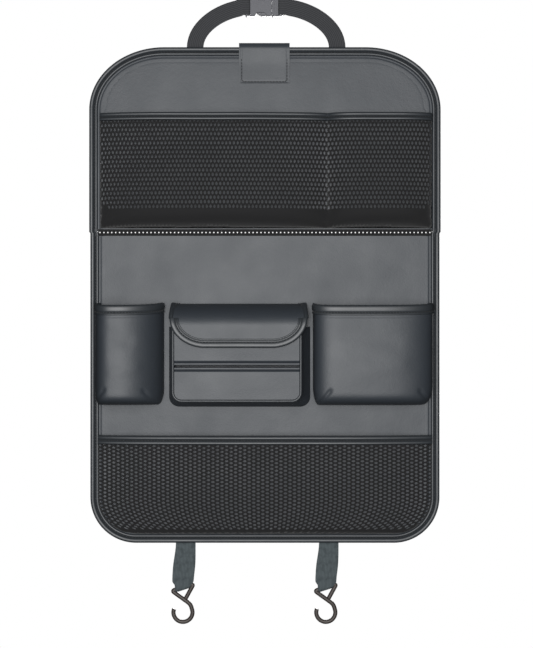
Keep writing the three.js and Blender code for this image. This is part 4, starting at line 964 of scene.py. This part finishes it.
for key, above in SECTIONS:
    node = f"tissue_front_{key}"
    front = sheet(f"{node}_cloth", tissue_front(node, above), 70, 90, thickness=1.3)
    settle(front, FACE_CLOTH, "coated_fabric", node, cut=(147, 42, "stretched", "tissue_piping"))
for key in ("loop_patch", "hook_patch"):
    settle(frame["nodes"][key], HOOK_AND_LOOP, "hook_and_loop")
print("tissue pocket done")


# %% [markdown]
# The flap comes out of the seam above the pocket, curves over its mouth and hangs down in
# front of it. Its round corners are spaced round an ellipse, so that the edge stays smooth,
# and a tape is folded over the edge.

# %% The flap
FLAP_LEFT, FLAP_RIGHT, _, FLAP_FRONT, FLAP_BOTTOM, FLAP_TOP = box("tissue_flap")
FALL, CORNER_W, CORNER_H, CURVE = 27.0, 40.0, 33.0, 0.62


def flap_surface(u, v):
    """A quarter ellipse from the panel out to the front, then straight down to the edge."""
    side = np.minimum(u, 1 - u)
    share = 5 / 12
    turn = np.clip(side / share, 0, 1) * math.pi / 2
    middle = (FLAP_RIGHT - FLAP_LEFT) / 2 - CORNER_W
    inwards = CORNER_W * (1 - np.cos(turn)) + np.clip(side - share, 0, None) / (0.5 - share) * middle
    x = np.where(u < 0.5, FLAP_LEFT + inwards, FLAP_RIGHT - inwards)
    lift = CORNER_H * (1 - np.sin(turn))
    end = FLAP_TOP - FALL
    flat = end - FLAP_BOTTOM
    s = v * np.clip(CURVE + (1 - CURVE) * (1 - lift / flat), 0.3, None)
    hang = np.clip(s - CURVE, 0, None) / (1 - CURVE)
    bend = np.clip(s / CURVE, 0, 1) * math.pi / 2
    depth = SEAT + 1.6 + (FLAP_FRONT - SEAT - 1.6) * np.sin(bend)
    z = np.where(hang > 0, end - hang * flat, FLAP_TOP - FALL * (1 - np.cos(bend)))
    waves = (0.5 * np.sin(x / 27 + 1) + 0.25 * np.sin(x / 11 + z / 15)) * np.sin(bend)
    return place(x, depth - 0.5 + 0.6 * waves, z)


settle(sheet("tissue_flap_cloth", flap_surface, 96, 80, POCKET_CLOTH, SEAT), FACE_CLOTH,
       "coated_fabric", "tissue_flap", cut=(158, 66, "hung", "lower_face"))

FLAP_OUTLINE = [
    (8.8, 0.6), (8.7, 1.3), (8.0, 1.6), (7.3, 1.5), (6.8, 0.8), (6.3, 1.4), (5.6, 1.6),
    (5.0, 1.5), (4.5, 0.8), (4.0, 1.4), (2.6, 1.9), (1.0, 2.0), (-0.6, 1.9), (-1.6, 0.8),
    (-1.9, -0.8), (-1.5, -2.4), (-0.6, -3.3), (1.2, -3.3), (2.4, -3.3), (2.4, -2.7),
    (0, -2.6), (-1, -1.8), (-1, 0.2), (0, 0.5), (4.4, 0.4),
]
TRIM_START, NEAR = 0.18, 0.004
side_v = np.linspace(TRIM_START, 1, 40)[:-1]
foot_u = np.linspace(0, 1, 140)
edge_u = np.concatenate([np.zeros_like(side_v), foot_u, np.ones_like(side_v)])
edge_v = np.concatenate([side_v, np.ones_like(foot_u), side_v[::-1]])
points = flap_surface(edge_u, edge_v)
across = (flap_surface(np.clip(edge_u + NEAR, 0, 1), edge_v)
          - flap_surface(np.clip(edge_u - NEAR, 0, 1), edge_v))
down = flap_surface(edge_u, np.clip(edge_v + NEAR, 0, 1)) - flap_surface(edge_u, edge_v - NEAR)
out = unit(np.cross(down, across))
ahead = unit(np.gradient(points, axis=0))
inside = unit(np.cross(out, ahead))
trim = sweep("tissue_flap_trim", points, inside, out, rounded(FLAP_OUTLINE))
settle(trim, TRIM_CLOTH, "binding_tape", "tissue_flap_binding",
       cut=(250, 24, "folded", "tissue_flap"))
sew("tissue_flap_stitches", points + inside * 4.5 + out * 0.85, out)
print("flap done")


# %% [markdown]
# The tab is a strap of coated cloth folded over the top edge and sewn down flat on both
# sides, with its seam pressed in near the border.

# %% The tab over the top edge
tab = box("top_tab")


def softened(table, reach):
    """Rounds off a line's turns: every row becomes a weighted mean of its neighbours."""
    kernel = np.hanning(2 * reach + 1)
    padded = np.pad(table, ((reach, reach), (0, 0)), mode="edge")
    columns = [np.convolve(column, kernel / kernel.sum(), "valid") for column in padded.T]
    return np.stack(columns, axis=-1)


def tab_surface(u, v):
    """Up the front, over the edge and down the back, with a pressed line near the border."""
    keys = [[tab[4], SEAT + 1.8], [tab[4] + 25, SEAT + 2.4], [TOP - 8, 9.0], [TOP - 1, 9.6],
            [tab[5] - 0.8, 7.4], [tab[5], 4.2], [tab[5] - 1.2, 0.4], [TOP - 6, -1.6],
            [TOP - 20, -2.1], [tab[4] + 10, -2.1]]
    line = softened(recounted(keys, count=200), reach=11)
    fine = np.linspace(0, 1, len(line))
    z = np.interp(v, fine, line[:, 0])
    depth = np.interp(v, fine, line[:, 1])
    x = tab[1] + (tab[0] - tab[1]) * u
    rim = np.minimum(x - tab[0], tab[1] - x)
    low = np.where(v < 0.5, z - tab[4], 99)
    press = bump(np.minimum(rim, low), 3.2, 0.9)
    return place(x, depth - 0.35 * press * np.where(v < 0.45, 1, -0.6), z)


settle(sheet("top_tab_cloth", tab_surface, 60, 150, thickness=1.5), FACE_CLOTH,
       "coated_fabric", "top_tab", cut=(60.6, 104, "folded", "upper_face"))
left, right, low_z = tab[0] + 3.2, tab[1] - 3.2, tab[4] + 3.2
line = even([[left, TOP - 14], [left, low_z], [right, low_z], [right, TOP - 14]], 1.5)
seam = place(line[:, 0], SEAT + 1.9 + 0.02 * (line[:, 1] - low_z), line[:, 1])
sew("top_tab_stitches", seam, place(0, 1, 0), "coated_fabric")
print("tab done")


# %% [markdown]
# Webbing is a flat woven band with thick edges. Its ribs are far too fine to model, so they
# are a bump pattern that runs along the band's own UV and follows every bend. The band's
# section is a flat lozenge, carried through the same stations as in the CAD.

# %% The headrest strap
def ribbon(name, stations, thickness, cloth, slot, node, sewn_on):
    """A woven band: a flat lozenge of half width 1, drawn out to the band's width at each
    station of its centre line. The UV across it is in real size too."""
    centre, across, width = along_stations(stations)
    ahead = unit(np.gradient(centre, axis=0))
    across = unit(across - ahead * np.sum(across * ahead, axis=-1, keepdims=True))
    through = unit(np.cross(ahead, across))
    s = np.linspace(-1, 1, 25)
    crown = np.sqrt(np.clip(1 - s ** 10, 0, 1)) * (0.9 + 0.1 * np.cos(s * math.pi * 10))
    outline = np.concatenate([pair(s, crown), pair(s[::-1], -crown[::-1])[1:-1]])
    band = sweep(name, centre, across * width[:, None] / 2, through * thickness / 2, outline,
                 around=outline[None, :, 0] * width[:, None] / 2, sharp=60)
    settle(band, cloth, slot, node, cut=(width.mean(), distances(centre)[-1], "folded", sewn_on))


def along_stations(stations, step=0.8):
    """Runs smoothly through stations of (x, depth, z, across x, across z, width)."""
    stations = np.asarray(stations, dtype=float)
    t = distances(stations[:, :3])
    fine = np.linspace(0, t[-1], int(t[-1] / step))
    x, depth, z, across_x, across_z, width = softened(read_between(fine, t, stations), reach=3).T
    return place(x, depth, z), place(across_x, 0, across_z), width


ARC_X, ARC_HALF, ARC_RISE, ARC_OFF = 1.5, 85.5, 49.3, 10.0
ARC_Z = 297.5
WEB, WEB_T, WEB_D = 20.0, 1.2, -0.95
DOUBLED = WEB - 2.5
BUCKLE_Z = ARC_Z + ARC_RISE
WRAP = 3.15


def strap_half(side, bar_x):
    """Stations of one half: up the back, round the arc, over the bar and back behind it."""
    start = ARC_X + side * ARC_OFF
    reach = ARC_HALF - ARC_OFF
    end = math.acos((abs(bar_x - start) + 10) / reach)
    rows = [(start + side * reach, WEB_D, z, 1, 0, WEB) for z in (255.5, 276.0, 290.0)]
    arc = []
    for share in np.linspace(0, 1, 25):
        a = share * end
        ax, az = math.cos(a) * ARC_RISE, side * math.sin(a) * reach
        size = math.hypot(ax, az)
        x, z = start + side * reach * math.cos(a), ARC_Z + ARC_RISE * math.sin(a)
        arc.append((x, z, ax / size, az / size))
        rows.append((x, WEB_D + WRAP * float(smooth((share - 0.4) / 0.6)), *arc[-1][1:], WEB))
    rows += [(bar_x + side * off, WEB_D + WRAP * turn, BUCKLE_Z, 0, side, wide)
             for off, turn, wide in ((6, 1, WEB), (-2.2, 1, WEB), (-4, 0.6, WEB),
                                     (-4, -0.6, WEB), (-2.2, -1, WEB), (6, -1, DOUBLED))]
    return rows + [(x, WEB_D - WRAP, z, ax, az, DOUBLED) for x, z, ax, az in arc[:-7:-1]]


for side, key, bar_x in ((-1, "left", -21.7), (1, "right", 20.1)):
    rows = strap_half(side, bar_x)
    ribbon(f"headrest_webbing_{key}", rows, WEB_T, WEBBING, "webbing", f"headrest_strap_{key}",
           "upper_lining")
    left, right, low_z, high_z = rows[0][0] - 7, rows[0][0] + 7, 260, 282
    line = even([[left, low_z], [right, low_z], [right, high_z], [left, high_z], [left, low_z],
                 [right, high_z]], 1.5)
    sew(f"strap_stitches_{key}", place(line[:, 0], WEB_D - WEB_T / 2, line[:, 1]),
        place(0, -1, 0), "webbing")
print("strap done")


# %% [markdown]
# The buckle is moulded plastic. The CAD has its real form already, so it only needs what a
# mould gives it: small rounded edges, which a Bevel modifier makes. The CAD also leaves a
# hairline gap between its two halves. A Displace modifier swells both by a fifth of a
# millimetre first, so that less light comes through there.

# %% The buckle
for key in ("buckle_socket", "buckle_plug"):
    node = frame["nodes"][key]
    settle(node, BUCKLE, "buckle_plastic")
    skin = node.modifiers.new("skin", "DISPLACE")
    skin.strength = 0.0002
    skin.mid_level = 0.0
    edge = node.modifiers.new("edges", "BEVEL")
    edge.width = 0.0005
    edge.segments = 2
    edge.limit_method = "ANGLE"
    edge.angle_limit = math.radians(35)
print("buckle done")


# %% [markdown]
# The elastic straps are doubled over the hooks' bars. The hooks are bent wire, so each is a
# tube along one line: a short leg, the bar, a long leg and the open bowl.

# %% The elastic straps and the hooks
def elastic_stations(x, bar, tilt):
    """Stations down the front layer, round the bar and up the rear layer."""
    edge = BOTTOM - 0.1
    sewn_in = edge + 9.2
    drop = edge - bar[1]
    front, close = -0.85, -2.55
    radius = 3.05
    rear = 2.6
    top_wide, low_wide, loop_wide = 21, 25.5, 19
    rows = [(x, front, sewn_in, 1, 0, top_wide)]

    def row(share, depth, below=0.0):
        """A station at a share of the way down: wider at first, then drawn in at the loop."""
        turn = tilt * float(smooth(share))
        wide = float(top_wide + (low_wide - top_wide) * smooth(share / 0.6)
                     + (loop_wide - low_wide) * smooth((share - 0.87) / 0.085))
        lean = (bar[0] - x) * float(smooth(share))
        return (x + lean + math.sin(turn) * below, depth, edge - drop * share
                - math.cos(turn) * below, math.cos(turn), math.sin(turn), wide)

    shares = [0, 0.1, 0.2, 0.3, 0.4, 0.5, 0.6, 0.7, 0.8, 0.88, 0.915, 0.935, 0.955]
    rows += [row(s, front) for s in shares]
    rows += [row(1, bar[2] + radius * math.cos(a), radius * math.sin(a))
             for a in np.linspace(0, math.pi, 13)]
    for s in shares[::-1]:
        back = row(s, close + (bar[2] - radius - close) * float(smooth(s)))
        rows.append((back[0] + rear * (1 - float(smooth(s))), *back[1:]))
    return rows + [(x + rear, close, sewn_in, 1, 0, top_wide)]


def bent_wire(corners, bowl, x, depth, z):
    """The hook's centre line: straight runs with rounded corners, ending in the bowl."""
    cx, cz, radius, start, end = bowl
    angle = np.radians(np.linspace(start, end, 60))
    bowl_line = pair(cx + radius * np.cos(angle), cz + radius * np.sin(angle))
    points = [np.array(c[:2], dtype=float) for c in corners]
    line = [points[0]]
    for k in range(1, len(points)):
        before = unit(points[k - 1] - points[k])
        after = unit((points[k + 1] if k + 1 < len(points) else bowl_line[0]) - points[k])
        a, b = points[k] + before * corners[k][2], points[k] + after * corners[k][2]
        t = np.linspace(0, 1, 12)[:, None]
        line += list((1 - t) ** 2 * a + 2 * t * (1 - t) * points[k] + t ** 2 * b)
    line = even(np.array(line + list(bowl_line)), 0.7)
    return place(x + line[:, 0], depth, z + line[:, 1])


TILT, REACH, WIRE_RADIUS = 0.31, 13.8, 2.55
CORNERS = [(3.7, -13.1, 0), (REACH * math.cos(TILT), REACH * math.sin(TILT), 3.6),
           (-REACH * math.cos(TILT), -REACH * math.sin(TILT), 3.4), (9.4, -20.4, 4)]
BOWL = (0.2, -30.2, 11.5, 20, -203)
for key, x in (("left", -96.6), ("right", 75.6)):
    bar = next(j for j in frame["joints"] if j["child"] == f"hook_{key}")["pos_m"]
    bar = (bar[0] * 1000, bar[2] * 1000, -bar[1] * 1000)
    ribbon(f"elastic_{key}", elastic_stations(x, bar, TILT), 1.0, ELASTIC, "elastic",
           f"elastic_strap_{key}", "lower_lining")
    line = bent_wire(CORNERS, BOWL, bar[0], bar[2], bar[1])
    hook = tube(f"hook_{key}_wire", line, WIRE_RADIUS, sides=20)
    settle(hook, WIRE, "hook_wire", f"wire_hook_{key}", body=f"hook_{key}")
print("straps and hooks done")

# %% [markdown]
# The picture is taken straight from the front with a longish lens, against plain white, and
# the top of the strap is cut off by the picture's edge. A large soft lamp and a small one,
# both near the camera and a little to the left, give the flat faces their even grey. Black
# cards form a box round the object, open in front and behind, and one more stands behind the
# camera. No camera sees them, but the cloth's sheen mirrors them, so every surface that turns
# away goes dark. A third lamp lights the back. The world looks white to the camera and gives
# the object only a faint light.

# %% Camera, lamps and backdrop
scene = bpy.context.scene
camera = bpy.data.cameras.new("camera")
camera.sensor_width = 36
camera.lens = 85
eye = bpy.data.objects.new("camera", camera)
scene.collection.objects.link(eye)
PICTURE_X, PICTURE_Z = 1.9, -34.8
PICTURE_HEIGHT = 777.6
distance = PICTURE_HEIGHT * camera.lens / camera.sensor_width
eye.location = (PICTURE_X / 1000, -(distance + FACE) / 1000, PICTURE_Z / 1000)
eye.rotation_euler = (math.pi / 2, 0, 0)
scene.camera = eye


def lamp(name, location, size, watts):
    """A square soft lamp that looks at the object's middle, where the frame has its origin."""
    light = bpy.data.lights.new(name, "AREA")
    light.shape = "SQUARE"
    light.size = size
    light.energy = watts
    obj = bpy.data.objects.new(name, light)
    obj.location = location
    x, y, z = location
    obj.rotation_euler = (math.atan2(math.hypot(x, y), z), 0, math.atan2(-y, -x) - math.pi / 2)
    scene.collection.objects.link(obj)


lamp("soft_front", (-0.15, -2.35, 0.08), size=1.7, watts=34)
lamp("front_axis", (-0.1, -2.2, 0.0), size=0.35, watts=23)
lamp("soft_back", (0.25, 2.5, 0.15), size=1.0, watts=55)


def flat_card(name, corners, finish):
    """A flat card that belongs to the stage, from its four corners in metres."""
    mesh = bpy.data.meshes.new(name)
    mesh.from_pydata(corners, [], [(0, 1, 2, 3)])
    obj = bpy.data.objects.new(name, mesh)
    obj.data.materials.append(finish)
    scene.collection.objects.link(obj)
    obj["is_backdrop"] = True
    return obj


BLACK_CARD = material("black_card", "#0a0a0a", roughness=0.9, Specular_IOR_Level=0.1)[0]
CARD_LEFT, CARD_RIGHT, CARD_FRONT, CARD_BACK, CARD_LOW, CARD_HIGH = -0.6, 0.6, -1, 1.3, -0.62, 0.6
cards = [flat_card(name, [(x, CARD_FRONT, CARD_LOW), (x, CARD_BACK, CARD_LOW),
                          (x, CARD_BACK, CARD_HIGH), (x, CARD_FRONT, CARD_HIGH)], BLACK_CARD)
         for name, x in (("card_left", CARD_LEFT), ("card_right", CARD_RIGHT))]
cards += [flat_card(name, [(CARD_LEFT, CARD_FRONT, z), (CARD_RIGHT, CARD_FRONT, z),
                           (CARD_RIGHT, CARD_BACK, z), (CARD_LEFT, CARD_BACK, z)], BLACK_CARD)
          for name, z in (("card_above", CARD_HIGH), ("card_below", CARD_LOW))]
cards.append(flat_card("card_behind_camera", [(-1.6, -2.75, -1.1), (1.6, -2.75, -1.1),
                                              (1.6, -2.75, 1.4), (-1.6, -2.75, 1.4)], BLACK_CARD))
for obj in cards:
    obj.visible_camera = False
FLOOR_Z = -1.15
flat_card("floor", [(-6, -6, FLOOR_Z), (6, -6, FLOOR_Z), (6, 3.2, FLOOR_Z), (-6, 3.2, FLOOR_Z)],
          material("pale_floor", "#e8e8e8", roughness=0.8)[0])

world = bpy.data.worlds.new("world")
world.use_nodes = True
scene.world = world
tree = world.node_tree
tree.nodes.clear()
rays = add(tree, "ShaderNodeLightPath").outputs
shiny = maths(tree, "MAXIMUM", rays["Is Glossy Ray"], rays["Is Transmission Ray"])
clear = maths(tree, "MAXIMUM", rays["Is Camera Ray"], shiny)
dim, white = [add(tree, "ShaderNodeBackground", {"Color": srgb("#ffffff"), "Strength": strength})
              for strength in (0.05, 1.0)]
choice = add(tree, "ShaderNodeMixShader", {0: clear, 1: dim.outputs[0], 2: white.outputs[0]})
add(tree, "ShaderNodeOutputWorld", {"Surface": choice.outputs[0]})

scene.view_settings.view_transform = "Standard"

# %% Print the bounds
low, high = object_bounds()
print("visual from", tuple(low), "to", tuple(high))
